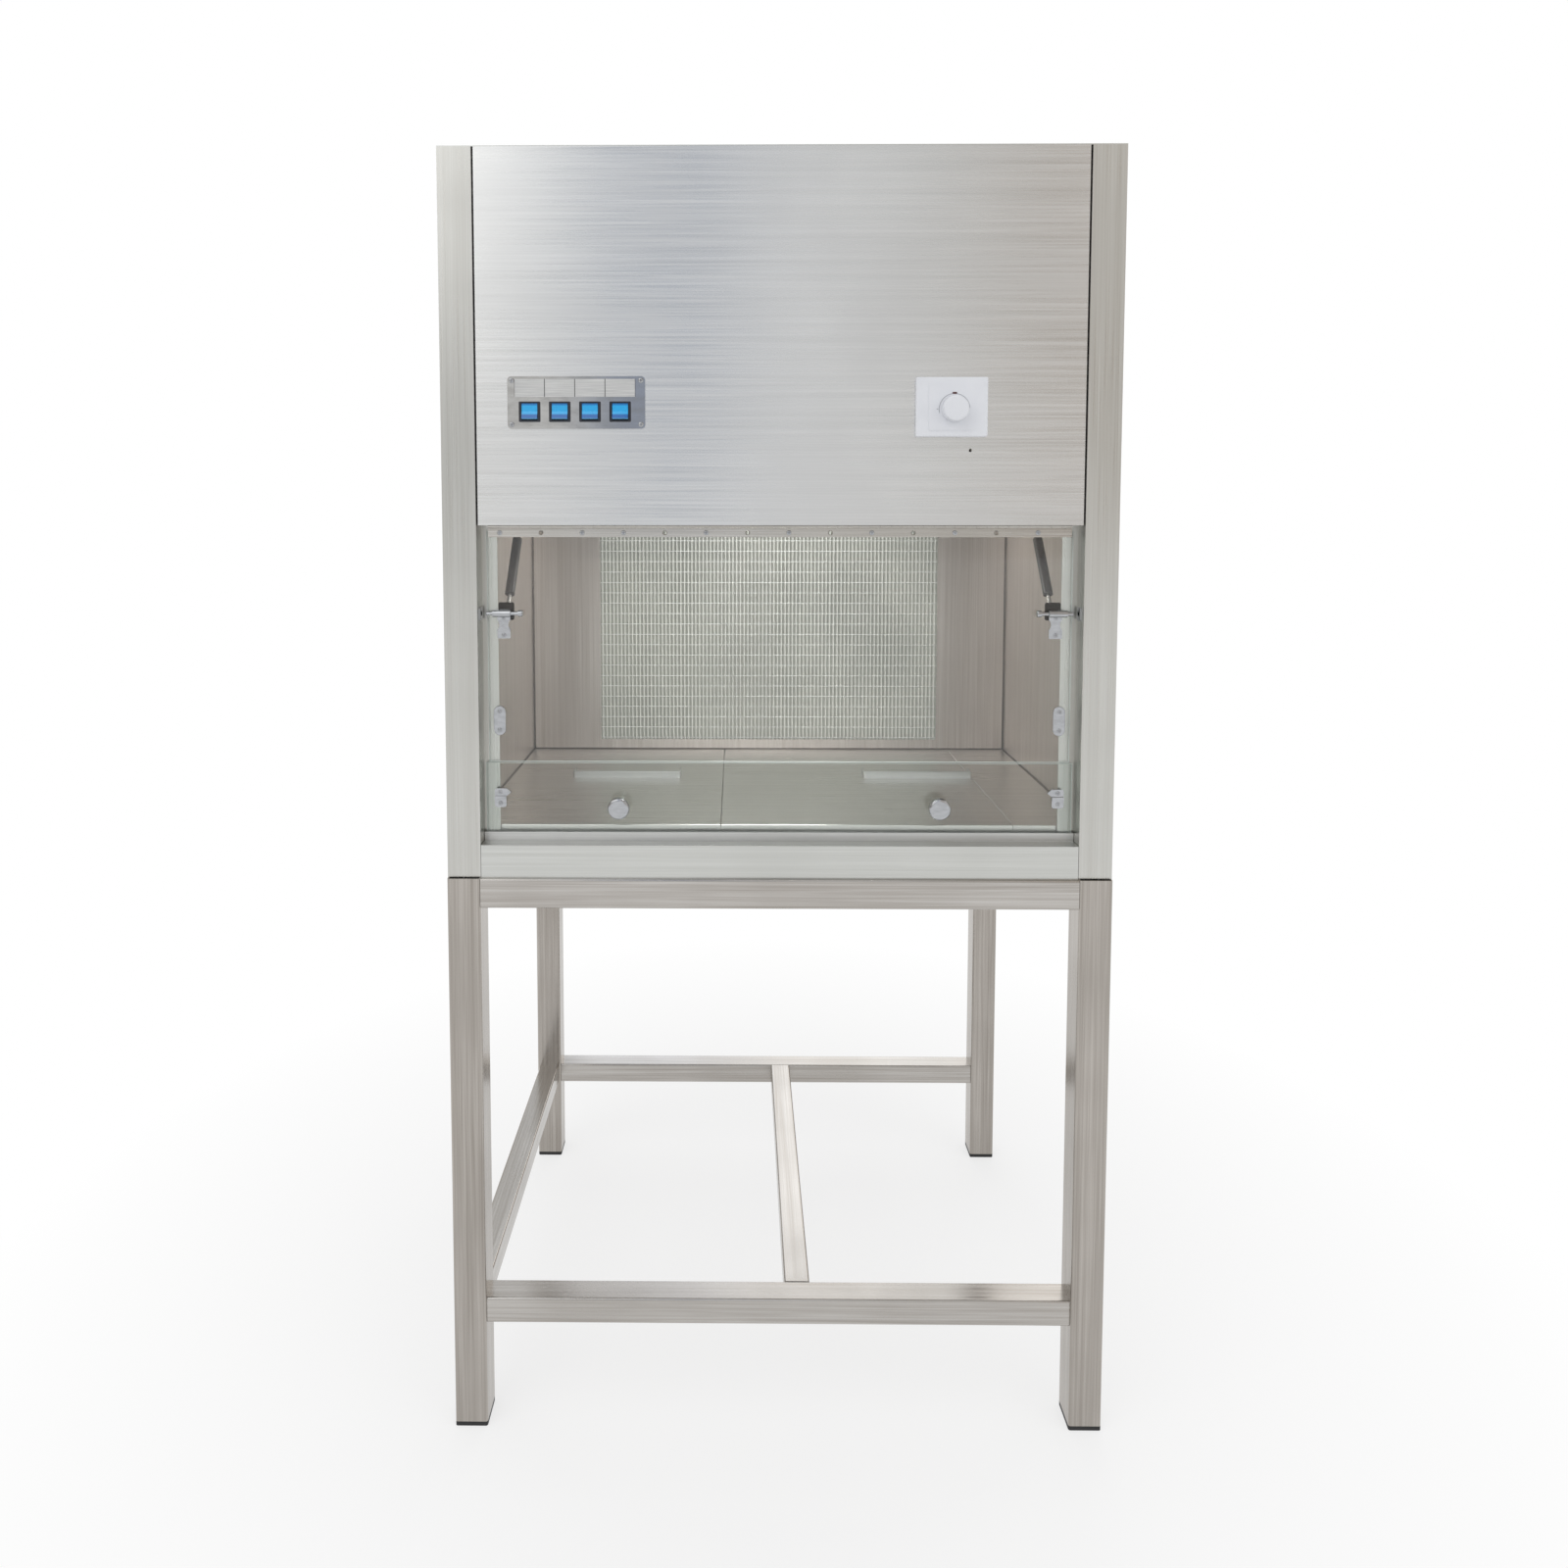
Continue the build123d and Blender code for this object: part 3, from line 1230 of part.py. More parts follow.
ear_inner = stay_x + stay_rod_eye_width / 2 + ear_gap
with BuildPart() as stay_sash_brackets:
    with BuildSketch(upright(glass_back + bracket_plate)):
        with Locations((clear_half - bracket_half + 1.5, stay_sash_z)):
            RectangleRounded(2 * bracket_half - 3.0, 2 * bracket_half, 3.0)
    extrude(amount=bracket_plate)
    with BuildSketch(across(ear_inner)):
        with BuildLine():
            Line((glass_back + 1.0, stay_sash_z - 9.0), (stay_sash_y, stay_sash_z - 5.5))
            ThreePointArc((stay_sash_y, stay_sash_z - 5.5), (stay_sash_y + 5.5, stay_sash_z),
                          (stay_sash_y, stay_sash_z + 5.5))
            Polyline((stay_sash_y, stay_sash_z + 5.5), (glass_back + 1.0, stay_sash_z + 9.0),
                     (glass_back + 1.0, stay_sash_z - 9.0))
        make_face()
    extrude(amount=ear_thickness)
    pin_start = stay_x - stay_rod_eye_width / 2 - 2.0
    with BuildSketch(across(pin_start)):
        with Locations((stay_sash_y, stay_sash_z)):
            Circle(stay_pin)
    extrude(amount=ear_inner - pin_start)
    with BuildSketch(across(pin_start)):
        with Locations((stay_sash_y, stay_sash_z)):
            Circle(stay_pin + 1.2)
    extrude(amount=1.2)
    mirror(about=Plane.YZ)
save(stay_sash_brackets.part, "stay_sash_brackets")

wall_face = inner_half - sheet
with BuildPart() as stay_wall_brackets:
    with BuildSketch(across(wall_face - bracket_plate)):
        with Locations((stay_wall_y, stay_wall_z)):
            RectangleRounded(2 * bracket_half, 2 * bracket_half, 3.0)
    extrude(amount=bracket_plate)
    stud_end = stay_x + stay_cylinder + stud_gap
    with BuildSketch(across(stud_end)):
        with Locations((stay_wall_y, stay_wall_z)):
            Circle(stud_radius)
    extrude(amount=wall_face - stud_end)
    with BuildSketch(across(wall_face - bracket_plate - 8.0)):
        with Locations((stay_wall_y, stay_wall_z)):
            Circle(2 * stud_radius)
    extrude(amount=8.0)
    mirror(about=Plane.YZ)
save(stay_wall_brackets.part, "stay_wall_brackets")
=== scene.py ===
"""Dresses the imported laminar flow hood: finishes, screws, marks, light and camera.

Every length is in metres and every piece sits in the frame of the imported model, with +Z up and the front
towards -Y.
"""

import logging
import math
from dataclasses import dataclass, field
from enum import Enum
from functools import cache

import bmesh
import bpy
import numpy as np
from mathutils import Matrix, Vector

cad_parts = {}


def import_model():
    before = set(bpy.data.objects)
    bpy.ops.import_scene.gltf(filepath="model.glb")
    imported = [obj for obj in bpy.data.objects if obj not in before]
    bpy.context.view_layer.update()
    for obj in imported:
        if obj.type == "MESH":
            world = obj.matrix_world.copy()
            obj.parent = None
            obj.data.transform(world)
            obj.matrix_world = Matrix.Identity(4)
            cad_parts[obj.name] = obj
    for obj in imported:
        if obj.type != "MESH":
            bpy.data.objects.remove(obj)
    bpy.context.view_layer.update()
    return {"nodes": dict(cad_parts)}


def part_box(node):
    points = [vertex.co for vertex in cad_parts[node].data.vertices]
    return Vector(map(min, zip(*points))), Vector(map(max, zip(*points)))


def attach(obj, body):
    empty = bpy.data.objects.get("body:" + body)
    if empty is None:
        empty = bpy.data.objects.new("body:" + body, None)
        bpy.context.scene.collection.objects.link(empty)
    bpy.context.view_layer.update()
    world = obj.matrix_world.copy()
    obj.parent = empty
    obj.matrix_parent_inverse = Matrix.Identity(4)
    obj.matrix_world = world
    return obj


MM = 0.001
MIX_A, MIX_B = 6, 7                  # colour inputs of the Mix node
MIX_FIRST, MIX_SECOND = 2, 3         # its number inputs
GLASS_IOR = 1.5                      # glass, and most plastics
LOG = logging.getLogger("laminar_flow_hood")


def linear(code: str) -> tuple[float, float, float, float]:
    """Turn an sRGB hex colour into linear red, green, blue and alpha.

    Args:
        code: Six hex digits with a leading hash.

    Returns:
        The colour as the shader sockets take it.
    """
    parts = np.array([int(code[place:place + 2], 16) for place in (1, 3, 5)]) / 255.0
    light = np.where(parts <= 0.04045, parts / 12.92, ((parts + 0.055) / 1.055) ** 2.4)
    return (float(light[0]), float(light[1]), float(light[2]), 1.0)


def add_node(
    tree: bpy.types.NodeTree, kind: str, inputs: dict[str | int, object] | None = None, **settings: object
) -> bpy.types.Node:
    """Add one node with its settings, values and links.

    Args:
        tree: The node tree that gets the node.
        kind: The node's type name after "ShaderNode".
        inputs: Values, hex colours, sockets or nodes by input. A node gives its first live output.
        **settings: Properties of the node itself.

    Returns:
        The new node.
    """
    node = tree.nodes.new("ShaderNode" + kind)
    for key, value in settings.items():
        setattr(node, key, value)
    for key, value in (inputs or {}).items():
        if isinstance(value, str):
            value = linear(value)
        if isinstance(value, bpy.types.Node):
            value = next(socket for socket in value.outputs if socket.enabled)
        if isinstance(value, bpy.types.NodeSocket):
            tree.links.new(value, node.inputs[key])
        else:
            node.inputs[key].default_value = value
    return node


def spread(value: object, low: float, high: float, first: float, last: float) -> dict[str, object]:
    """Give the inputs of a Map Range node that carries a value from low to high over to first to last."""
    return {"Value": value, "From Min": low, "From Max": high, "To Min": first, "To Max": last}


def new_material(name: str) -> tuple[bpy.types.Material, bpy.types.NodeTree, bpy.types.NodeSocket]:
    """Start a material.

    Args:
        name: The finish in a maker's words.

    Returns:
        The material, its empty node tree and the place on the piece.
    """
    material = bpy.data.materials.new(name)
    material.use_nodes = True
    tree = material.node_tree
    tree.nodes.clear()
    return material, tree, add_node(tree, "TexCoord").outputs["Object"]


def cloud(
    tree: bpy.types.NodeTree, place: bpy.types.NodeSocket, size_mm: tuple[float, float, float],
    detail: float = 3.0,
) -> bpy.types.Node:
    """Give a noise whose blotches have the stated size along each axis.

    Args:
        tree: The tree that gets the nodes.
        place: The point to read the noise at, in metres.
        size_mm: Length of a blotch along X, Y and Z in millimetres.
        detail: Octaves of finer noise on top.

    Returns:
        A node whose output runs from about 0.2 to 0.8, with 0.5 as its mean.
    """
    scale = tuple(1.0 / (length * MM) for length in size_mm)
    mapped = add_node(tree, "Mapping", {"Vector": place, "Scale": scale})
    return add_node(tree, "TexNoise", {"Vector": mapped, "Scale": 1.0, "Detail": detail, "Roughness": 0.6})


class Grain(Enum):
    """The way that a sheet or a tube was brushed."""

    ACROSS = "along the width"
    UPRIGHT = "up and down"
    DEPTH = "front to back"
    TUBES = "along each tube of the stand"


@dataclass(frozen=True)
class BrushedSteel:
    """Stainless steel rubbed with a belt: long fine lines, a soft lustre and faint darker blotches, partly
    marks of hands and partly painted soft reflection.

    The real lines are tenths of a millimetre apart, too fine for the render, so they are drawn coarser.
    """

    name: str
    bright: str
    dull: str
    grain: Grain
    roughness: float = 0.3
    line_mm: float = 2.2
    run_mm: float = 260.0
    relief: float = 0.16
    anisotropy: float = 0.0
    tangent_turn: float = 0.0
    haze_mm: float = 210.0
    haze: float = 0.35

    def lines(
        self, tree: bpy.types.NodeTree, place: bpy.types.NodeSocket, coarser: float = 1.0
    ) -> bpy.types.Node:
        """Give the brushed lines as a noise drawn out along the grain.

        Args:
            tree: The tree that gets the nodes.
            place: The point on the piece.
            coarser: How many times wider than the fine lines.

        Returns:
            The noise. On the stand, tubes that run to the rear have their lines front to back.
        """
        line, run = self.line_mm * coarser, self.run_mm * coarser
        sizes = {Grain.ACROSS: (run, line, line), Grain.UPRIGHT: (line, line, run)}
        sizes[Grain.DEPTH] = (line, run, line)
        if self.grain is not Grain.TUBES:
            return cloud(tree, place, sizes[self.grain])
        along = cloud(tree, place, sizes[Grain.ACROSS])
        deep = cloud(tree, place, sizes[Grain.DEPTH])
        apart = add_node(tree, "SeparateXYZ", {"Vector": place})
        x = add_node(tree, "Math", {0: apart.outputs["X"]}, operation="ABSOLUTE")
        y = add_node(tree, "Math", {0: apart.outputs["Y"]}, operation="ABSOLUTE")
        wide = add_node(tree, "Math", {0: x, 1: Stand.side_tube_from}, operation="GREATER_THAN")
        inside = add_node(tree, "Math", {0: y, 1: Stand.middle_tube_within}, operation="LESS_THAN")
        runs_deep = add_node(tree, "Math", {0: wide, 1: inside}, operation="MAXIMUM")
        return add_node(tree, "Mix", {0: runs_deep, MIX_FIRST: along, MIX_SECOND: deep})

    def build(self) -> bpy.types.Material:
        """Make the material.

        Returns:
            The material.
        """
        material, tree, place = new_material(self.name)
        fine = self.lines(tree, place)
        broad = self.lines(tree, place, 4.0)
        haze = cloud(tree, place, (self.haze_mm,) * 3, 2.0)
        fine_part = add_node(tree, "Math", {0: fine, 1: 0.55}, operation="MULTIPLY")
        broad_part = add_node(tree, "Math", {0: broad, 1: 0.45}, operation="MULTIPLY")
        streaks = add_node(tree, "Math", {0: fine_part, 1: broad_part}, operation="ADD")
        tone = add_node(tree, "MapRange", spread(streaks, 0.32, 0.68, 0.0, 1.0))
        lined = add_node(tree, "Mix", {0: tone, MIX_A: self.dull, MIX_B: self.bright}, data_type="RGBA")
        # Darker blotches towards the dull colour: partly marks of hands, partly painted soft reflection.
        hand_marks_and_painted_reflection = add_node(tree, "MapRange", spread(haze, 0.38, 0.66, 0.0, self.haze))
        colour = add_node(tree, "Mix", {0: hand_marks_and_painted_reflection, MIX_A: lined, MIX_B: self.dull}, data_type="RGBA")
        low, high = self.roughness - 0.05, self.roughness + 0.06
        rough = add_node(tree, "MapRange", spread(fine, 0.3, 0.7, low, high))
        greasy = add_node(tree, "MapRange", spread(haze, 0.45, 0.7, 0.0, 0.05))
        bump = add_node(tree, "Bump", {"Height": streaks, "Strength": self.relief, "Distance": 0.3 * MM})
        shader = add_node(tree, "BsdfPrincipled", {
            "Base Color": colour, "Metallic": 1.0, "Normal": bump,
            "Roughness": add_node(tree, "Math", {0: rough, 1: greasy}, operation="ADD"),
            "Anisotropic": self.anisotropy, "Anisotropic Rotation": self.tangent_turn,
        })
        add_node(tree, "OutputMaterial", {"Surface": shader})
        return material


@dataclass(frozen=True)
class BrightMetal:
    """Polished or plated metal: a mirror with a little haze and fine scuffs from handling."""

    name: str
    bright: str
    dull: str
    roughness: float
    scuff_mm: float = 9.0
    scuffed: float = 0.6

    def build(self) -> bpy.types.Material:
        """Make the material.

        Returns:
            The material.
        """
        material, tree, place = new_material(self.name)
        scuffs = cloud(tree, place, (self.scuff_mm, self.scuff_mm, self.scuff_mm * 0.4), 4.0)
        worn = add_node(tree, "MapRange", spread(scuffs, 0.4, 0.7, 0.0, self.scuffed))
        low, high = self.roughness, self.roughness + 0.1
        colour = add_node(tree, "Mix", {0: worn, MIX_A: self.bright, MIX_B: self.dull}, data_type="RGBA")
        shader = add_node(tree, "BsdfPrincipled", {
            "Base Color": colour,
            "Roughness": add_node(tree, "MapRange", spread(scuffs, 0.35, 0.75, low, high)),
            "Metallic": 1.0,
        })
        add_node(tree, "OutputMaterial", {"Surface": shader})
        return material


@dataclass(frozen=True)
class Galvanised:
    """Hot-dip galvanised sheet: dull grey zinc with a spangle of crystals about a centimetre across."""

    name: str = "galvanised_sheet"
    bright: str = "#B4B8BB"
    dull: str = "#8D9296"
    spangle_mm: float = 11.0

    def build(self) -> bpy.types.Material:
        """Make the material.

        Returns:
            The material.
        """
        material, tree, place = new_material(self.name)
        cells = add_node(tree, "TexVoronoi", {"Vector": place, "Scale": 1.0 / (self.spangle_mm * MM)})
        tone = add_node(tree, "SeparateColor", {"Color": cells.outputs["Color"]}).outputs["Red"]
        colour = add_node(tree, "Mix", {0: tone, MIX_A: self.dull, MIX_B: self.bright}, data_type="RGBA")
        shader = add_node(tree, "BsdfPrincipled", {
            "Base Color": colour,
            "Roughness": add_node(tree, "MapRange", spread(tone, 0.0, 1.0, 0.42, 0.56)),
            "Metallic": 0.85,
        })
        add_node(tree, "OutputMaterial", {"Surface": shader})
        return material


@dataclass(frozen=True)
class Moulded:
    """Moulded plastic, rubber or sprayed enamel: an even colour with a fine grain and a little dust."""

    name: str
    colour: str
    dusty: str
    roughness: float
    grain_mm: float = 0.8
    relief: float = 0.1
    coat: float = 0.0
    dust_mm: float = 42.0

    def build(self) -> bpy.types.Material:
        """Make the material.

        Returns:
            The material.
        """
        material, tree, place = new_material(self.name)
        grain = cloud(tree, place, (self.grain_mm,) * 3, 2.0)
        dust = cloud(tree, place, (self.dust_mm,) * 3, 3.0)
        share = add_node(tree, "MapRange", spread(dust, 0.4, 0.72, 0.0, 0.5))
        low, high = self.roughness - 0.04, self.roughness + 0.05
        bump = add_node(tree, "Bump", {"Height": grain, "Strength": self.relief, "Distance": 0.1 * MM})
        colour = add_node(tree, "Mix", {0: share, MIX_A: self.colour, MIX_B: self.dusty}, data_type="RGBA")
        shader = add_node(tree, "BsdfPrincipled", {
            "Base Color": colour,
            "Roughness": add_node(tree, "MapRange", spread(grain, 0.3, 0.7, low, high)),
            "IOR": GLASS_IOR, "Coat Weight": self.coat, "Coat Roughness": 0.08,
            "Normal": bump,
        })
        add_node(tree, "OutputMaterial", {"Surface": shader})
        return material


@dataclass(frozen=True)
class FilterPaper:
    """Glass fibre paper of the filter: matt, pale grey, with the cloudy look of felted fibre.

    The real paper lets light through from fold to fold, which a faint painted glow stands for; the glow
    also lifts the shade between the folds.
    """

    name: str = "glass_fibre_paper"
    pale: str = "#D3D3CC"
    grey: str = "#BCBDB6"
    fibre_mm: float = 2.4
    patch_mm: float = 160.0
    glow: float = 0.14

    def build(self) -> bpy.types.Material:
        """Make the material.

        Returns:
            The material.
        """
        material, tree, place = new_material(self.name)
        fibres = cloud(tree, place, (self.fibre_mm,) * 3, 4.0)
        patches = cloud(tree, place, (self.patch_mm,) * 3, 2.0)
        felted = add_node(tree, "MapRange", spread(fibres, 0.35, 0.7, 0.0, 0.5))
        patched = add_node(tree, "MapRange", spread(patches, 0.4, 0.7, 0.0, 0.5))
        share = add_node(tree, "Math", {0: felted, 1: patched}, operation="ADD")
        colour = add_node(tree, "Mix", {0: share, MIX_A: self.pale, MIX_B: self.grey}, data_type="RGBA")
        shader = add_node(tree, "BsdfPrincipled", {
            "Base Color": colour, "Roughness": 0.85, "Sheen Weight": 0.15,
            # Painted glow: the paper gives faint light of its own, though it is no lamp.
            "Emission Color": colour, "Emission Strength": self.glow,
            "Normal": add_node(tree, "Bump", {"Height": fibres, "Strength": 0.3, "Distance": 0.2 * MM}),
        })
        add_node(tree, "OutputMaterial", {"Surface": shader})
        return material


@dataclass(frozen=True)
class ClearGlass:
    """Float glass with ground edges: clear faces, and edges that catch the light as a pale line."""

    name: str
    tint: str
    edge: str = "#D6DEDA"
    smear_mm: float = 90.0
    edge_roughness: float = 0.45

    def build(self) -> bpy.types.Material:
        """Make the material. Lamps' rays pass the faces, so that what is behind the glass is lit.

        Returns:
            The material.
        """
        material, tree, place = new_material(self.name)
        normal = add_node(tree, "TexCoord").outputs["Normal"]
        apart = add_node(tree, "SeparateXYZ", {"Vector": normal})
        facing = add_node(tree, "Math", {0: apart.outputs["Y"]}, operation="ABSOLUTE")
        face = add_node(tree, "Math", {0: facing, 1: 0.9}, operation="GREATER_THAN")
        size_mm = (self.smear_mm, self.smear_mm, self.smear_mm * 2.0)
        smear = cloud(tree, place, size_mm, 3.0)
        wiped = add_node(tree, "MapRange", spread(smear, 0.5, 0.75, 0.0, 0.05))
        ground = add_node(tree, "MapRange", spread(face, 0.0, 1.0, self.edge_roughness, 0.0))
        colour = add_node(tree, "Mix", {0: face, MIX_A: self.edge, MIX_B: self.tint}, data_type="RGBA")
        shader = add_node(tree, "BsdfPrincipled", {
            "Base Color": colour,
            "Roughness": add_node(tree, "Math", {0: wiped, 1: ground}, operation="ADD"),
            "Transmission Weight": add_node(tree, "MapRange", spread(face, 0.0, 1.0, 0.25, 1.0)),
            "IOR": GLASS_IOR,
        })
        passing = add_node(tree, "BsdfTransparent", {"Color": self.tint})
        ray = add_node(tree, "LightPath").outputs
        rays = {0: ray["Is Shadow Ray"], 1: ray["Is Diffuse Ray"]}
        soft = add_node(tree, "Math", rays, operation="MAXIMUM")
        lets = add_node(tree, "Math", {0: soft, 1: face}, operation="MULTIPLY")
        mixed = add_node(tree, "MixShader", {0: lets, 1: shader, 2: passing})
        add_node(tree, "OutputMaterial", {"Surface": mixed})
        return material


@dataclass(frozen=True)
class RockerBlue:
    """Clear blue rocker cap, moulded in one piece.

    Its upper part is painted cyan for the light that gathers in the cap, its thick lower third stays deep
    blue, and a pale painted highlight runs along its lower rim.
    """

    middle_z: float
    cyan: str = "#22A9E6"
    deep: str = "#0B5FA8"
    edge: str = "#7CC6EE"

    def build(self) -> bpy.types.Material:
        """Make the material. The three tones follow the height on the cap.

        Returns:
            The material.
        """
        material, tree, place = new_material("clear_blue_rocker_plastic")
        apart = add_node(tree, "SeparateXYZ", {"Vector": place})
        height = add_node(tree, "Math", {0: apart.outputs["Z"], 1: self.middle_z}, operation="SUBTRACT")
        lower, rim, top = (
            add_node(tree, "MapRange", spread(height, start * MM, end * MM, 0.0, most))
            for start, end, most in ((-3.0, -4.6, 1.0), (-9.6, -10.4, 1.0), (8.6, 10.2, 0.8))
        )
        grain = cloud(tree, place, (1.6, 1.6, 1.6), 2.0)
        speckle = add_node(tree, "MapRange", spread(grain, 0.4, 0.7, 0.0, 0.25))
        ends = add_node(tree, "Math", {0: lower, 1: top}, operation="MAXIMUM")
        colour = add_node(tree, "Mix", {0: speckle, MIX_A: self.cyan, MIX_B: self.deep}, data_type="RGBA")
        colour = add_node(tree, "Mix", {0: ends, MIX_A: colour, MIX_B: self.deep}, data_type="RGBA")
        colour = add_node(tree, "Mix", {0: rim, MIX_A: colour, MIX_B: self.edge}, data_type="RGBA")
        shader = add_node(tree, "BsdfPrincipled", {
            "Base Color": colour, "IOR": 1.49, "Coat Weight": 0.4, "Coat Roughness": 0.05,
            "Roughness": add_node(tree, "MapRange", spread(grain, 0.3, 0.7, 0.14, 0.22)),
            # Painted glow: the cap gives faint light of its own, though it is no lamp.
            "Emission Color": colour, "Emission Strength": 0.12,
        })
        add_node(tree, "OutputMaterial", {"Surface": shader})
        return material


@dataclass(frozen=True)
class LabelStrip:
    """Four bare fields of a metal label strip, with dark lines between them."""

    first_x: float
    pitch: float
    line_mm: float = 1.0
    pale: str = "#DADAD8"
    grey: str = "#B5B6B6"
    dark: str = "#2B2C30"

    def build(self) -> bpy.types.Material:
        """Make the material. A line is drawn within half its width of the nearest divider.

        Returns:
            The material.
        """
        material, tree, place = new_material("brushed_label_strip")
        apart = add_node(tree, "SeparateXYZ", {"Vector": place})
        across = add_node(tree, "Math", {0: apart.outputs["X"], 1: self.first_x}, operation="SUBTRACT")
        away = add_node(tree, "Math", {0: across, 1: self.pitch / 2}, operation="PINGPONG")
        line = add_node(tree, "Math", {0: away, 1: self.line_mm * MM / 2}, operation="LESS_THAN")
        brushed = cloud(tree, place, (60.0, 1.0, 1.0), 3.0)
        share = add_node(tree, "MapRange", spread(brushed, 0.35, 0.7, 0.0, 1.0))
        metal = add_node(tree, "Mix", {0: share, MIX_A: self.pale, MIX_B: self.grey}, data_type="RGBA")
        colour = add_node(tree, "Mix", {0: line, MIX_A: metal, MIX_B: self.dark}, data_type="RGBA")
        shader = add_node(tree, "BsdfPrincipled", {
            "Base Color": colour,
            "Roughness": 0.38, "Metallic": 0.6,
        })
        add_node(tree, "OutputMaterial", {"Surface": shader})
        return material


FRONTWARD = (Vector((1.0, 0.0, 0.0)), Vector((0.0, 0.0, 1.0)), Vector((0.0, -1.0, 0.0)))
REARWARD = (Vector((-1.0, 0.0, 0.0)), Vector((0.0, 0.0, 1.0)), Vector((0.0, 1.0, 0.0)))


def lay_grid(rows: int, columns: int) -> np.ndarray:
    """Give the four corner numbers of each cell of a grid.

    Args:
        rows: Points down the grid.
        columns: Points across the grid.

    Returns:
        One row of four point numbers for each cell, point number = row * columns + column.
    """
    start = (np.arange(rows - 1)[:, None] * columns + np.arange(columns - 1)[None, :]).ravel()
    return np.stack([start, start + 1, start + columns + 1, start + columns], axis=1)


def make_piece(
    name: str, points: np.ndarray, cells: np.ndarray, finish: bpy.types.Material, body: str,
    smooth: bool = True,
) -> None:
    """Turn points and cells into a closed piece that rides on a body.

    Args:
        name: The piece's name.
        points: Its points in the model's frame.
        cells: Its cells, four point numbers each.
        finish: Its material.
        body: The body that carries it.
        smooth: Whether its faces are shaded as one curve.
    """
    mesh = bpy.data.meshes.new(name)
    mesh.vertices.add(len(points))
    mesh.vertices.foreach_set("co", points.astype(np.float32).ravel())
    mesh.loops.add(cells.size)
    mesh.loops.foreach_set("vertex_index", cells.astype(np.int32).ravel())
    mesh.polygons.add(len(cells))
    mesh.polygons.foreach_set("loop_start", np.arange(len(cells), dtype=np.int32) * 4)
    mesh.polygons.foreach_set("loop_total", np.full(len(cells), 4, dtype=np.int32))
    mesh.update(calc_edges=True)
    work = bmesh.new()
    work.from_mesh(mesh)
    bmesh.ops.remove_doubles(work, verts=work.verts, dist=1e-6)
    bmesh.ops.dissolve_degenerate(work, edges=work.edges, dist=1e-7)
    bmesh.ops.recalc_face_normals(work, faces=work.faces)
    work.to_mesh(mesh)
    work.free()
    mesh.polygons.foreach_set("use_smooth", np.full(len(mesh.polygons), smooth))
    mesh.materials.append(finish)
    piece = bpy.data.objects.new(name, mesh)
    bpy.context.scene.collection.objects.link(piece)
    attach(piece, body)
    LOG.info("%s: %d faces on %s", name, len(mesh.polygons), body)


def stamp_piece(
    name: str, surface: np.ndarray, places: np.ndarray, finish: bpy.types.Material, body: str,
    axes: tuple[Vector, Vector, Vector] = FRONTWARD, smooth: bool = True,
) -> None:
    """Repeat a grid surface at several places as one piece.

    A point goes to place + x * axes[0] + y * axes[1] + z * axes[2].

    Args:
        name: The piece's name.
        surface: Points of the grid, rows by columns by three.
        places: The places, one row of three each.
        finish: Its material.
        body: The body that carries it.
        axes: Unit vectors of the surface's x, y and z.
        smooth: Whether its faces are shaded as one curve.
    """
    turned = surface.reshape(-1, 3) @ np.array(axes)
    points = (np.asarray(places)[:, None, :] + turned[None, :, :]).reshape(-1, 3)
    cells = lay_grid(surface.shape[0], surface.shape[1])
    shifts = np.arange(len(places)) * len(turned)
    cells = (cells[None, :, :] + shifts[:, None, None]).reshape(-1, 4)
    make_piece(name, points, cells, finish, body, smooth)


@dataclass(frozen=True)
class ScrewHead:
    """Low domed screw head with a cross recess."""

    radius: float
    height: float
    sunk: float = 0.3 * MM
    arm: float = 0.55
    width: float = 0.13
    depth: float = 0.7
    steepness: float = 30.0
    rings: int = 12
    spokes: int = 40

    def surface(self) -> np.ndarray:
        """Work out the head.

        With s from 0 at the middle to 1 at the rim, the dome's height is height * sqrt(1 - s^4). Inside the
        cross, two bars of half-width 'width' and half-length 'arm' in radii with sides of 'steepness', it
        is less by 'depth' of itself. Then the rim drops to the sunk foot and closes at the middle.

        Returns:
            A grid of points, rings by spokes.
        """
        share = np.linspace(0.0, 1.0, self.rings)[:, None]
        turn = np.linspace(0.0, 2.0 * np.pi, self.spokes + 1)[None, :]
        across, along = share * np.cos(turn), share * np.sin(turn)
        dome = self.height * np.sqrt(np.clip(1.0 - share ** 4, 0.0, 1.0)) * np.ones_like(turn)
        bars = [
            np.clip((self.width - np.abs(off)) * self.steepness, 0.0, 1.0) * (np.abs(on) < self.arm)
            for off, on in ((across, along), (along, across))
        ]
        tall = dome * (1.0 - self.depth * np.maximum(bars[0], bars[1]))
        top = np.stack([across * self.radius, along * self.radius, tall], axis=2)
        foot = top[-1:].copy()
        foot[..., 2] = -self.sunk
        middle = foot * np.array([0.0, 0.0, 1.0])
        return np.concatenate([top, foot, middle])


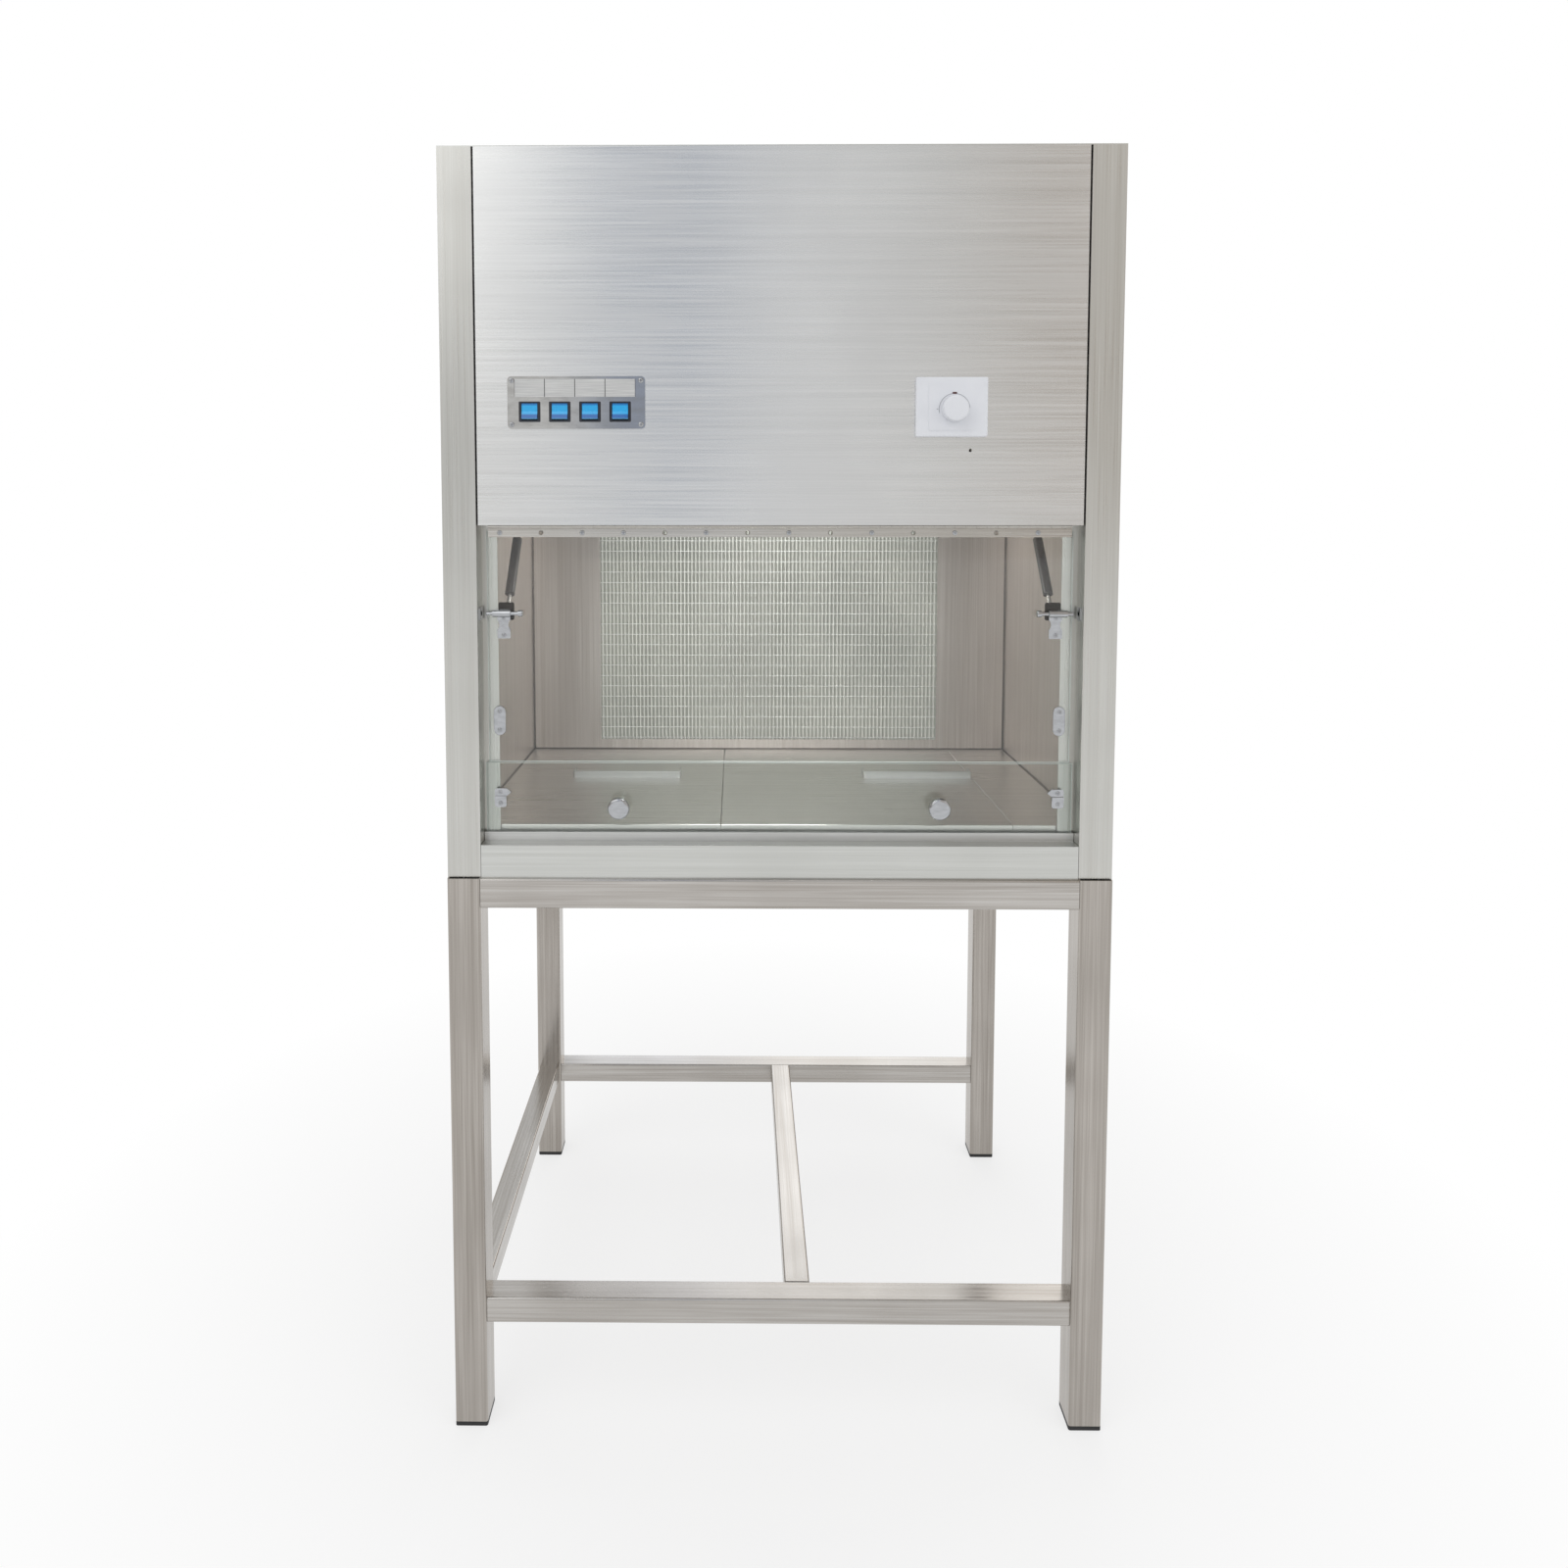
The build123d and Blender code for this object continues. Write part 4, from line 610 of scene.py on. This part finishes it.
def rounded_plate(
    width: float, height: float, radius: float, thickness: float, per_corner: int = 6
) -> np.ndarray:
    """Work out a thin plate with round corners, drawn in to the middle at its front and back.

    The outline goes round the four corner centres, a quarter turn each: centre + radius * (cos a, sin a).

    Args:
        width: Along x.
        height: Along y.
        radius: Of the corners.
        thickness: Along z, from 0.
        per_corner: Points on each corner.

    Returns:
        A grid of points, four rows by the outline.
    """
    turn = np.linspace(0.0, np.pi / 2.0, per_corner)
    starts = np.arange(4)[:, None] * np.pi / 2.0
    angles = (starts + turn[None, :]).ravel()
    signs = np.repeat(np.array([(1, 1), (-1, 1), (-1, -1), (1, -1)], float), per_corner, axis=0)
    centres = signs * np.array([width / 2.0 - radius, height / 2.0 - radius])
    outline = centres + radius * np.stack([np.cos(angles), np.sin(angles)], axis=1)
    outline = np.concatenate([outline, outline[:1]])
    rows = []
    for share, level in ((0.0, thickness), (1.0, thickness), (1.0, 0.0), (0.0, 0.0)):
        rows.append(np.concatenate([outline * share, np.full((len(outline), 1), level)], axis=1))
    return np.stack(rows)


def arc_band(
    radius: float, width: float, thickness: float, start: float, end: float, steps: int
) -> np.ndarray:
    """Work out a thin flat band along an arc.

    The section is a rectangle, width by thickness, carried round from the start angle to the end angle:
    (r cos a, r sin a, h) for the four corners (r, h). Both ends close to a point.

    Args:
        radius: Middle of the band.
        width: Across the band.
        thickness: Out of the plate.
        start: First angle in degrees, from +x.
        end: Last angle in degrees.
        steps: Points along the arc.

    Returns:
        A grid of points, steps plus two by five.
    """
    turn = np.radians(np.linspace(start, end, steps))[:, None]
    offsets = np.array([-0.5, 0.5, 0.5, -0.5, -0.5])[None, :] * width
    heights = np.array([0.0, 0.0, 1.0, 1.0, 0.0])[None, :] * thickness * np.ones_like(turn)
    away = radius + offsets
    band = np.stack([away * np.cos(turn), away * np.sin(turn), heights], axis=2)
    first = np.repeat(band[:1, :1], 5, axis=1)
    last = np.repeat(band[-1:, :1], 5, axis=1)
    return np.concatenate([first, band, last])


class Finish(Enum):
    """Every finish of the hood. Each comment says what the real surface gives the eye."""

    # Stainless sheet brushed across: light grey with level lines, and bands of light drawn out upright.
    FRONT = BrushedSteel("stainless_sheet_brushed_across", "#E1E1E0", "#D1D1D0", Grain.ACROSS, 0.27,
                         relief=0.06, anisotropy=0.6, tangent_turn=0.25)
    # The same sheet, folded with its lines upright on the posts and the sides.
    POST = BrushedSteel("stainless_sheet_brushed_upright", "#D0D0CC", "#BEBDB8", Grain.UPRIGHT, 0.3,
                        relief=0.07, anisotropy=0.4)
    # Sill, cover and rear: the same sheet with less polish.
    COVER = BrushedSteel("stainless_sheet_cover", "#D4D5D2", "#C2C3BF", Grain.ACROSS, 0.32, relief=0.07)
    # Chamber walls: the same steel in a warmer, darker grey, which is painted shade of the closed chamber
    # and painted warm reflection of the walls mirroring one another.
    CHAMBER = BrushedSteel("stainless_chamber_sheet", "#D5CEC9", "#BBB2AB", Grain.UPRIGHT, 0.34,
                           relief=0.08)
    # Trays: the same sheet painted paler, as painted light from the lamps above and a painted soft
    # reflection of the filter, which the trays mirror softly.
    WORKTOP = BrushedSteel("stainless_worktop_tray", "#E9E6E3", "#D3D0CC", Grain.ACROSS, 0.3,
                           relief=0.08)
    # Square tube of the stand: smoother than the sheet, with its lines in a darker, warmer grey that is a
    # painted reflection of brownish surroundings.
    LEG = BrushedSteel("stainless_tube_upright", "#BEB9B3", "#99938C", Grain.UPRIGHT, 0.2,
                       line_mm=3.0, relief=0.08)
    TUBES = BrushedSteel("stainless_tube_lengthwise", "#C8C5C1", "#A49F99", Grain.TUBES, 0.2,
                         line_mm=3.0, relief=0.08)
    # Rolled strip: fine lines along the hinge and a soft shine on each knuckle.
    HINGE = BrushedSteel("rolled_hinge_strip", "#D6D3CE", "#A9A59E", Grain.ACROSS, 0.24, line_mm=1.6)
    # Extruded aluminium as it left the die: paler and duller than the steel.
    MILL = BrushedSteel("mill_finish_aluminium", "#DCDCDB", "#C0C0BF", Grain.ACROSS, 0.4)
    # Chromium plate: near mirror with a cool tone.
    CHROME = BrightMetal("chromium_plate", "#B2B4B7", "#84878B", 0.07, 14.0, 0.3)
    # Polished plate round the switches: clear reflections with a broad, faint haze.
    MIRROR = BrightMetal("mirror_polished_stainless", "#BDBCBB", "#A09E9B", 0.03, 30.0)
    # Drawn rod of the stays: a softer shine than chrome.
    ROD = BrightMetal("bright_drawn_rod", "#C4C0BA", "#8D8984", 0.16)
    # Enamel on the stay cylinders: a soft gloss that shows grey where the black curves away.
    STAY = Moulded("black_enamel_stay", "#37302C", "#5A524C", 0.3, relief=0.04, coat=0.3)
    GALVANISED = Galvanised()
    # Nylon plugs and gland, and the motor's paint: black with a dull sheen.
    FOOT = Moulded("black_nylon_foot", "#141416", "#2E2E30", 0.5, relief=0.2)
    NYLON = Moulded("black_nylon_gland", "#18181A", "#323234", 0.45, relief=0.1)
    MOTOR = Moulded("black_motor_enamel", "#26262A", "#3C3C40", 0.42, relief=0.15)
    # Cell rubber: matt black with open pores.
    SEAL = Moulded("black_cell_rubber", "#1B1B1D", "#313132", 0.8, grain_mm=1.4, relief=0.4)
    # Baked enamel and the lamp's coating: even white, glossy.
    ENAMEL = Moulded("white_stove_enamel", "#ECECEA", "#DDDCD8", 0.3, relief=0.04, coat=0.3)
    LAMP = Moulded("white_coated_lamp", "#F2F2EE", "#E6E6E2", 0.15, relief=0.0, coat=0.6)
    # Prefilter mat: rough off-white fibre.
    CARD = Moulded("white_filter_mat", "#E4E4DA", "#CBCBC0", 0.9, grain_mm=1.8, relief=0.6)
    # Switch bodies: dark, with a clear gloss on the bezels.
    SWITCH = Moulded("black_switch_plastic", "#0E1422", "#1D2638", 0.22, relief=0.03, coat=0.3)
    # White plastic of the dimmer: smooth, faintly cool, with a soft gloss.
    DIAL = Moulded("white_dial_plastic", "#E9EBF0", "#E0E2E8", 0.34, relief=0.03, coat=0.15)
    # Flat grey print, and a small lens of dark red glass.
    INK = Moulded("grey_print", "#9A9DA3", "#8B8E95", 0.6, relief=0.0)
    LENS = Moulded("dark_red_lens", "#4A1D1C", "#5E2A28", 0.2, relief=0.0, coat=0.5)
    # Sealant smoothed by hand: a dark satin line.
    BEAD = Moulded("grey_brown_sealant", "#574D46", "#6A6058", 0.45, grain_mm=3.0, relief=0.15)
    PAPER = FilterPaper()
    # Panes, nearly without tint. The low one is seen at a flatter angle, where glass looks a little darker,
    # so its darker tint is painted shade.
    GLASS = ClearGlass("clear_float_glass", "#F9FBFA")
    LOW_GLASS = ClearGlass("clear_float_glass_low_pane", "#EFF3F1")
    QUARTZ = ClearGlass("clear_quartz_tube", "#F0F4F8")

    @property
    @cache
    def made(self) -> bpy.types.Material:
        """Give the material, made at its first use."""
        return self.value.build()


@dataclass
class Part:
    """Sub-assembly of the hood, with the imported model's nodes by name."""

    nodes: dict[str, bpy.types.Object]

    def dress(self, finish: bpy.types.Material, *names: str) -> None:
        """Put a finish on CAD nodes.

        Args:
            finish: The material.
            *names: The nodes that get it.
        """
        for name in names:
            for place in self.nodes[name].material_slots:
                place.material = finish
            LOG.info("%s: %s", name, finish.name)


@dataclass
class Stand(Part):
    """Square-tube stand with its plug feet."""

    side_tube_from: float = 0.452
    middle_tube_within: float = 0.321

    def build(self) -> None:
        """Dress the tubes and the feet."""
        self.dress(Finish.LEG.made, "front_legs", "rear_legs")
        self.dress(Finish.TUBES.made, "top_rails", "stretchers")
        self.dress(Finish.FOOT.made, "foot_caps")


@dataclass
class Cabinet(Part):
    """Folded sheets of the cabinet, with the screws that hold the rear panel."""

    screw_inset: float = 6.5 * MM
    side_inset: float = 26.0 * MM
    screws_up: int = 7
    screws_across: int = 5
    screw: ScrewHead = field(default_factory=lambda: ScrewHead(4.2 * MM, 1.9 * MM))

    def rear_screws(self) -> np.ndarray:
        """Space the screws evenly near the edges of the rear panel.

        Returns:
            Their places, one row each.
        """
        low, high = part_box("rear_panel")
        side_xs = (low.x + self.screw_inset, high.x - self.screw_inset)
        end_zs = (low.z + self.screw_inset, high.z - self.screw_inset)
        side_zs = np.linspace(low.z + self.side_inset, high.z - self.side_inset, self.screws_up)
        end_xs = np.linspace(side_xs[0], side_xs[1], self.screws_across)[1:-1]
        places = [(x, high.y, z) for x in side_xs for z in side_zs]
        places += [(x, high.y, z) for z in end_zs for x in end_xs]
        return np.array(places)

    def build(self) -> None:
        """Dress the sheets and set the screws."""
        self.dress(Finish.FRONT.made, "upper_front_panel")
        self.dress(Finish.POST.made, "side_panel_left", "side_panel_right")
        self.dress(Finish.COVER.made, "top_cover", "rear_panel", "front_sill")
        self.dress(Finish.NYLON.made, "cable_gland")
        stamp_piece("rear_panel_screws", self.screw.surface(), self.rear_screws(),
                    Finish.CHROME.made, "cabinet", REARWARD)


@dataclass
class Chamber(Part):
    """Work chamber: walls, trays, bulkhead and the sealant in its corners."""

    bead: float = 2.6 * MM
    sections: int = 7

    def corner_bead(self, start: Vector, end: Vector, first: Vector, second: Vector) -> np.ndarray:
        """Work out a sealant bead in a corner.

        The section is a hollow quarter round: the point at angle a is bead * (1 - sin a) along the first
        wall and bead * (1 - cos a) along the second, and the section closes in the corner. It is carried
        straight from start to end.

        Args:
            start: One end of the corner.
            end: Its other end.
            first: Unit vector out of the corner along the first wall.
            second: Unit vector out of the corner along the second wall.

        Returns:
            A grid of points, sections by two ends, with the ends drawn in to the corner.
        """
        turn = np.linspace(0.0, np.pi / 2.0, self.sections)[:, None]
        one, other = np.array(first)[None, :], np.array(second)[None, :]
        wall = one * (1.0 - np.sin(turn)) + other * (1.0 - np.cos(turn))
        ring = np.concatenate([wall * self.bead, np.zeros((1, 3)), wall[:1] * self.bead])
        near, far = np.array(start), np.array(end)
        rows = [np.tile(near, (len(ring), 1)), near + ring, far + ring, np.tile(far, (len(ring), 1))]
        return np.stack(rows)

    def beads(self) -> tuple[np.ndarray, np.ndarray]:
        """Work out the beads of the two upright corners and of the floor's three edges.

        The chamber's corners are where the outer edges of the trays meet the bulkhead.

        Returns:
            Their points and cells.
        """
        left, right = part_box("worktop_left")[0].x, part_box("worktop_right")[1].x
        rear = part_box("bulkhead")[0].y
        middle_low, middle_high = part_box("worktop_middle")
        front, floor = middle_low.y, middle_high.z
        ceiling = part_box("ceiling_panel")[0].z
        inward, up, forward = Vector((1, 0, 0)), Vector((0, 0, 1)), Vector((0, -1, 0))
        runs = [
            (Vector((left, rear, floor)), Vector((left, rear, ceiling)), inward, forward),
            (Vector((right, rear, floor)), Vector((right, rear, ceiling)), -inward, forward),
            (Vector((left, rear, floor)), Vector((right, rear, floor)), up, forward),
            (Vector((left, front, floor)), Vector((left, rear, floor)), inward, up),
            (Vector((right, front, floor)), Vector((right, rear, floor)), -inward, up),
        ]
        points, cells, count = [], [], 0
        for run in runs:
            surface = self.corner_bead(*run)
            points.append(surface.reshape(-1, 3))
            cells.append(lay_grid(surface.shape[0], surface.shape[1]) + count)
            count += len(points[-1])
        return np.concatenate(points), np.concatenate(cells)

    def build(self) -> None:
        """Dress the sheets and lay the sealant."""
        steel = Finish.CHAMBER.made
        self.dress(steel, "inner_wall_left", "inner_wall_right", "bulkhead", "ceiling_panel")
        tray = Finish.WORKTOP.made
        self.dress(tray, "worktop_left", "worktop_middle", "worktop_right", "base_pan")
        self.dress(Finish.MILL.made, "worktop_handles")
        points, cells = self.beads()
        make_piece("chamber_sealant", points, cells, Finish.BEAD.made, "cabinet")


@dataclass
class AirSystem(Part):
    """Filter, blower, prefilter and lights: what the cabinet holds behind its sheets."""

    def build(self) -> None:
        """Dress the pieces."""
        self.dress(Finish.PAPER.made, "hepa_media")
        self.dress(Finish.ENAMEL.made, "hepa_separators", "light_batten")
        self.dress(Finish.MILL.made, "hepa_frame", "glass_channel")
        self.dress(Finish.SEAL.made, "hepa_gasket")
        self.dress(Finish.LAMP.made, "fluorescent_lamp")
        self.dress(Finish.QUARTZ.made, "uv_lamp")
        self.dress(Finish.GALVANISED.made, "blower_housing", "impeller")
        self.dress(Finish.MOTOR.made, "blower_motor")
        self.dress(Finish.CARD.made, "prefilter")


@dataclass
class Controls(Part):
    """Switch plate with its label strip and screws, and the dimmer with its marks."""

    corner_inset: float = 6.2 * MM
    screw: ScrewHead = field(default_factory=lambda: ScrewHead(3.9 * MM, 1.8 * MM))
    strip_height: float = 26.0 * MM
    strip_top_inset: float = 4.0 * MM
    strip_corner: float = 1.0 * MM
    strip_thickness: float = 0.5 * MM
    fields: int = 4
    field_pitch: float = 44.4 * MM
    arc_radius: float = 22.4 * MM
    arc_width: float = 0.7 * MM
    arc_degrees: tuple[float, float] = (5.0, 195.0)
    arc_steps: int = 60
    tick_size: tuple[float, float] = (2.6 * MM, 0.9 * MM)
    tick_corner: float = 0.2 * MM
    mark_thickness: float = 0.15 * MM
    lens_rise: float = 23.2 * MM
    lens_size: tuple[float, float] = (6.5 * MM, 2.6 * MM)
    lens_corner: float = 0.8 * MM
    lens_thickness: float = 0.5 * MM

    def switch_screws(self) -> None:
        """Set a screw in each corner of the switch plate."""
        low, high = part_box("switch_plate")
        xs = (low.x + self.corner_inset, high.x - self.corner_inset)
        zs = (low.z + self.corner_inset, high.z - self.corner_inset)
        places = np.array([(x, low.y, z) for x in xs for z in zs])
        stamp_piece("switch_plate_screws", self.screw.surface(), places, Finish.CHROME.made, "cabinet")

    def label_strip(self) -> None:
        """Lay the label strip above the switches, one bare field for each."""
        low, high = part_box("switch_plate")
        switch_low, switch_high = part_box("switch_bodies")
        middle = (switch_low.x + switch_high.x) / 2.0
        centre = (middle, low.y, high.z - self.strip_top_inset - self.strip_height / 2.0)
        width = self.fields * self.field_pitch
        surface = rounded_plate(width, self.strip_height, self.strip_corner, self.strip_thickness)
        finish = LabelStrip(middle, self.field_pitch).build()
        stamp_piece("label_strip", surface, np.array([centre]), finish, "cabinet",
                    smooth=False)

    def dial_marks(self) -> None:
        """Print the arc and the tick round the knob, and set the dark lens above it."""
        knob_low, knob_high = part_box("dial_knob")
        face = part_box("dial_plate")[0].y
        centre = np.array([[(knob_low.x + knob_high.x) / 2.0, face, (knob_low.z + knob_high.z) / 2.0]])
        start, end = self.arc_degrees
        arc = arc_band(self.arc_radius, self.arc_width, self.mark_thickness, start, end, self.arc_steps)
        stamp_piece("dial_arc", arc, centre, Finish.INK.made, "cabinet")
        tick = rounded_plate(*self.tick_size, self.tick_corner, self.mark_thickness, 3)
        beside = centre + np.array([[-self.arc_radius - self.tick_size[0], 0.0, 0.0]])
        stamp_piece("dial_tick", tick, beside, Finish.INK.made, "cabinet",
                    smooth=False)
        window = rounded_plate(*self.lens_size, self.lens_corner, self.lens_thickness)
        above = centre + np.array([[0.0, 0.0, self.lens_rise]])
        stamp_piece("dial_lens", window, above, Finish.LENS.made, "cabinet",
                    smooth=False)

    def build(self) -> None:
        """Dress the controls and add their small pieces."""
        rockers = [f"rocker_{number}" for number in range(1, 5)]
        low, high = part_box("switch_bodies")
        self.dress(Finish.MIRROR.made, "switch_plate")
        self.dress(Finish.SWITCH.made, "switch_bodies")
        self.dress(RockerBlue((low.z + high.z) / 2.0).build(), *rockers)
        self.dress(Finish.DIAL.made, "dial_plate", "dial_knob")
        self.switch_screws()
        self.label_strip()
        self.dial_marks()


@dataclass
class Glazing(Part):
    """Sash, lower glass, hinge, bolts and stays, with the screws in their plates."""

    leaf_thickness: float = 1.2 * MM
    hole_rise: float = 6.5 * MM
    first_hole: float = 17.5 * MM
    hole_pitch: float = 62.15 * MM
    screwed_holes: tuple[int, ...] = (0, 2, 3, 5, 7, 9, 11, 13)
    hinge_screw: ScrewHead = field(default_factory=lambda: ScrewHead(3.9 * MM, 1.6 * MM))
    plate_screw: ScrewHead = field(default_factory=lambda: ScrewHead(3.2 * MM, 1.3 * MM))
    bolt_plate_inset: float = 25.0 * MM
    bolt_holes: tuple[float, float] = (5.5 * MM, 32.0 * MM)
    bolt_plate: float = 1.5 * MM
    catch_spread: float = 14.0 * MM
    plate_half: float = 9.0 * MM
    clip_plate: float = 2.0 * MM
    clip_spread: float = 8.5 * MM

    def hinge_screws(self) -> None:
        """Set screws in the holes of the moving leaf that have one."""
        low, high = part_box("hinge_moving_leaf")
        face = high.y - self.leaf_thickness
        start = low.x + self.first_hole
        level = low.z + self.hole_rise
        places = np.array([(start + hole * self.hole_pitch, face, level) for hole in self.screwed_holes])
        stamp_piece("hinge_screws", self.hinge_screw.surface(), places, Finish.CHROME.made, "sash")

    def plate_screws(self) -> None:
        """Set the screws of the bolt plates, the catch plates and the lower clips."""
        glass_low, glass_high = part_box("sash_glass")
        bolt_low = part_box("bolt_barrels")[0]
        catch_low, catch_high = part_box("catch_plates")
        catch_z = (catch_low.z + catch_high.z) / 2.0
        bolt_x = glass_high.x - self.bolt_plate_inset
        catch_x = catch_high.x - self.plate_half
        on_sash = [(side * bolt_x, glass_low.y - self.bolt_plate, bolt_low.z + rise)
                   for side in (-1, 1) for rise in self.bolt_holes]
        on_sash += [(side * catch_x, catch_low.y, catch_z + rise)
                    for side in (-1, 1) for rise in (-self.catch_spread, self.catch_spread)]
        stamp_piece("sash_plate_screws", self.plate_screw.surface(), np.array(on_sash),
                    Finish.CHROME.made, "sash")
        clip_low, clip_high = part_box("lower_clips")
        clip_z = (clip_low.z + clip_high.z) / 2.0
        clip_x = clip_high.x - self.plate_half
        on_clips = [(side * clip_x, glass_low.y - self.clip_plate, clip_z + rise)
                    for side in (-1, 1) for rise in (-self.clip_spread, self.clip_spread)]
        stamp_piece("lower_clip_screws", self.plate_screw.surface(), np.array(on_clips),
                    Finish.CHROME.made, "cabinet")

    def build(self) -> None:
        """Dress the glass and its fittings."""
        self.dress(Finish.GLASS.made, "sash_glass")
        self.dress(Finish.LOW_GLASS.made, "lower_glass")
        self.dress(Finish.HINGE.made, "hinge_fixed_leaf", "hinge_moving_leaf", "hinge_pin")
        chrome = Finish.CHROME.made
        self.dress(chrome, "pull_knobs", "lower_clips", "catch_plates", "bolt_barrels", "bolt_pin_left")
        self.dress(chrome, "bolt_pin_right", "bolt_keepers")
        self.dress(Finish.STAY.made, "stay_cylinder_left", "stay_cylinder_right")
        self.dress(Finish.STAY.made, "stay_sash_brackets", "stay_wall_brackets")
        self.dress(Finish.ROD.made, "stay_rod_left", "stay_rod_right")
        self.hinge_screws()
        self.plate_screws()


@dataclass(frozen=True)
class SoftLamp:
    """Square soft lamp that looks at a point, the middle of the hood unless told otherwise."""

    name: str
    place: tuple[float, float, float]
    size: float
    watts: float
    target: tuple[float, float, float] = (0.0, 0.0, 1.1)

    def hang(self) -> None:
        """Add the lamp to the scene."""
        light = bpy.data.lights.new(self.name, "AREA")
        light.size = self.size
        light.energy = self.watts
        lamp = bpy.data.objects.new(self.name, light)
        bpy.context.scene.collection.objects.link(lamp)
        lamp.location = self.place
        aim = Vector(self.target) - Vector(self.place)
        lamp.rotation_mode = "QUATERNION"
        lamp.rotation_quaternion = aim.to_track_quat("-Z", "Y")


@dataclass
class Studio:
    """Pale floor, soft light and the camera."""

    floor_half: float = 30.0
    floor_paint: float = 0.86
    white: str = "#FFFFFF"
    plain_strength: float = 0.66
    mirrored_strength: float = 0.95
    camera_place: tuple[float, float, float] = (-0.0638, -1.923, 1.4218)
    camera_tilt: tuple[float, float, float] = (math.pi / 2.0 - 0.0603, 0.0, 0.0092)
    lens_mm: float = 24.16
    shift: tuple[float, float] = (0.0363, -0.1339)
    # Grey cards round the hood: how far from left to right, from 0 to 1, and the card's colour.
    cards: tuple[tuple[float, str], ...] = (
        (0.0, "#B9B2AB"), (0.3, "#D9D6D2"), (0.41, "#F6F7F6"), (0.45, "#B9C2D3"), (0.485, "#C4CBD8"),
        (0.515, "#FFFFFF"), (0.555, "#FFFFFF"), (0.578, "#D2D7DA"), (0.6, "#EDEBE8"), (0.65, "#C2B7AC"),
        (0.8, "#AFA59C"), (1.0, "#A69C93"),
    )
    lamps: tuple[SoftLamp, ...] = (
        SoftLamp("key_lamp", (-2.6, -3.2, 4.2), 4.0, 50.0),
        SoftLamp("fill_lamp", (3.2, -2.6, 2.6), 3.6, 22.0),
        SoftLamp("rear_lamp", (0.6, 3.6, 3.4), 3.6, 36.0),
        SoftLamp("chamber_lamp", (-0.02, -0.22, 1.46), 0.25, 2.2, (0.0, 0.12, 1.0)),
    )

    def floor(self) -> None:
        """Lay a flat floor that is white to the camera and keeps a soft shadow of the stand."""
        material, tree, place = new_material("white_studio_floor")
        away = add_node(tree, "VectorMath", {0: place}, operation="LENGTH")
        ray = add_node(tree, "LightPath").outputs
        rays = {0: ray["Is Camera Ray"], 1: ray["Is Glossy Ray"]}
        direct = add_node(tree, "Math", rays, operation="MAXIMUM")
        seen = add_node(tree, "Math", {0: direct, 1: ray["Is Transmission Ray"]}, operation="MAXIMUM")
        fade = add_node(tree, "MapRange", spread(away, 0.55, 1.5, 0.7, 1.0))
        share = add_node(tree, "Math", {0: seen, 1: fade}, operation="MULTIPLY")
        paint = add_node(tree, "BsdfDiffuse", {"Color": (self.floor_paint,) * 3 + (1.0,)})
        glow = add_node(tree, "Emission", {"Color": self.white, "Strength": 1.0})
        mixed = add_node(tree, "MixShader", {0: share, 1: paint, 2: glow})
        add_node(tree, "OutputMaterial", {"Surface": mixed})
        side = np.linspace(-self.floor_half, self.floor_half, 3)
        across, deep = np.meshgrid(side, side)
        points = np.stack([across.ravel(), deep.ravel(), np.zeros(across.size)], axis=1)
        mesh = bpy.data.meshes.new("studio_floor")
        mesh.from_pydata(points.tolist(), [], lay_grid(3, 3).tolist())
        mesh.materials.append(material)
        floor = bpy.data.objects.new("studio_floor", mesh)
        bpy.context.scene.collection.objects.link(floor)

    def sky(self) -> None:
        """Surround the hood with white light.

        Metal sees a white studio with a few soft grey cards at the sides, by the ray's direction.
        """
        world = bpy.data.worlds.new("soft_studio")
        world.use_nodes = True
        tree = world.node_tree
        tree.nodes.clear()
        direction = add_node(tree, "TexCoord").outputs["Generated"]
        apart = add_node(tree, "SeparateXYZ", {"Vector": direction})
        along = add_node(tree, "MapRange", spread(apart.outputs["X"], -1.0, 1.0, 0.0, 1.0))
        ramp = add_node(tree, "ValToRGB", {"Fac": along})
        ramp.color_ramp.interpolation = "EASE"
        elements = ramp.color_ramp.elements
        for number, (position, colour) in enumerate(self.cards):
            element = elements[number] if number < 2 else elements.new(position)
            element.position = position
            element.color = linear(colour)
        ray = add_node(tree, "LightPath").outputs
        mirrored = add_node(tree, "Background", {"Color": ramp, "Strength": self.mirrored_strength})
        plain = add_node(tree, "Background", {"Color": self.white, "Strength": self.plain_strength})
        bright = add_node(tree, "Background", {"Color": self.white, "Strength": 1.0})
        lit = add_node(tree, "MixShader", {0: ray["Is Glossy Ray"], 1: plain, 2: mirrored})
        rays = {0: ray["Is Camera Ray"], 1: ray["Is Transmission Ray"]}
        seen = add_node(tree, "Math", rays, operation="MAXIMUM")
        whole = add_node(tree, "MixShader", {0: seen, 1: lit, 2: bright})
        add_node(tree, "OutputWorld", {"Surface": whole})
        bpy.context.scene.world = world

    def camera(self) -> None:
        """Set the camera at the viewing angle."""
        data = bpy.data.cameras.new("camera")
        data.sensor_width = 36.0
        data.lens = self.lens_mm
        data.shift_x, data.shift_y = self.shift
        data.clip_start = 0.05
        data.clip_end = 100.0
        camera = bpy.data.objects.new("camera", data)
        bpy.context.scene.collection.objects.link(camera)
        camera.location = self.camera_place
        camera.rotation_euler = self.camera_tilt
        bpy.context.scene.camera = camera

    def build(self) -> None:
        """Set up the studio."""
        bpy.context.scene.view_settings.view_transform = "Standard"
        self.floor()
        self.sky()
        for lamp in self.lamps:
            lamp.hang()
        self.camera()


def main() -> None:
    """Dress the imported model, add its small pieces and set up the studio."""
    logging.basicConfig(level=logging.INFO, format="%(name)s: %(message)s")
    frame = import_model()
    for kind in (Stand, Cabinet, Chamber, AirSystem, Controls, Glazing):
        kind(frame["nodes"]).build()
        LOG.info("%s is dressed", kind.__name__)
    Studio().build()


if __name__ == "__main__":
    main()
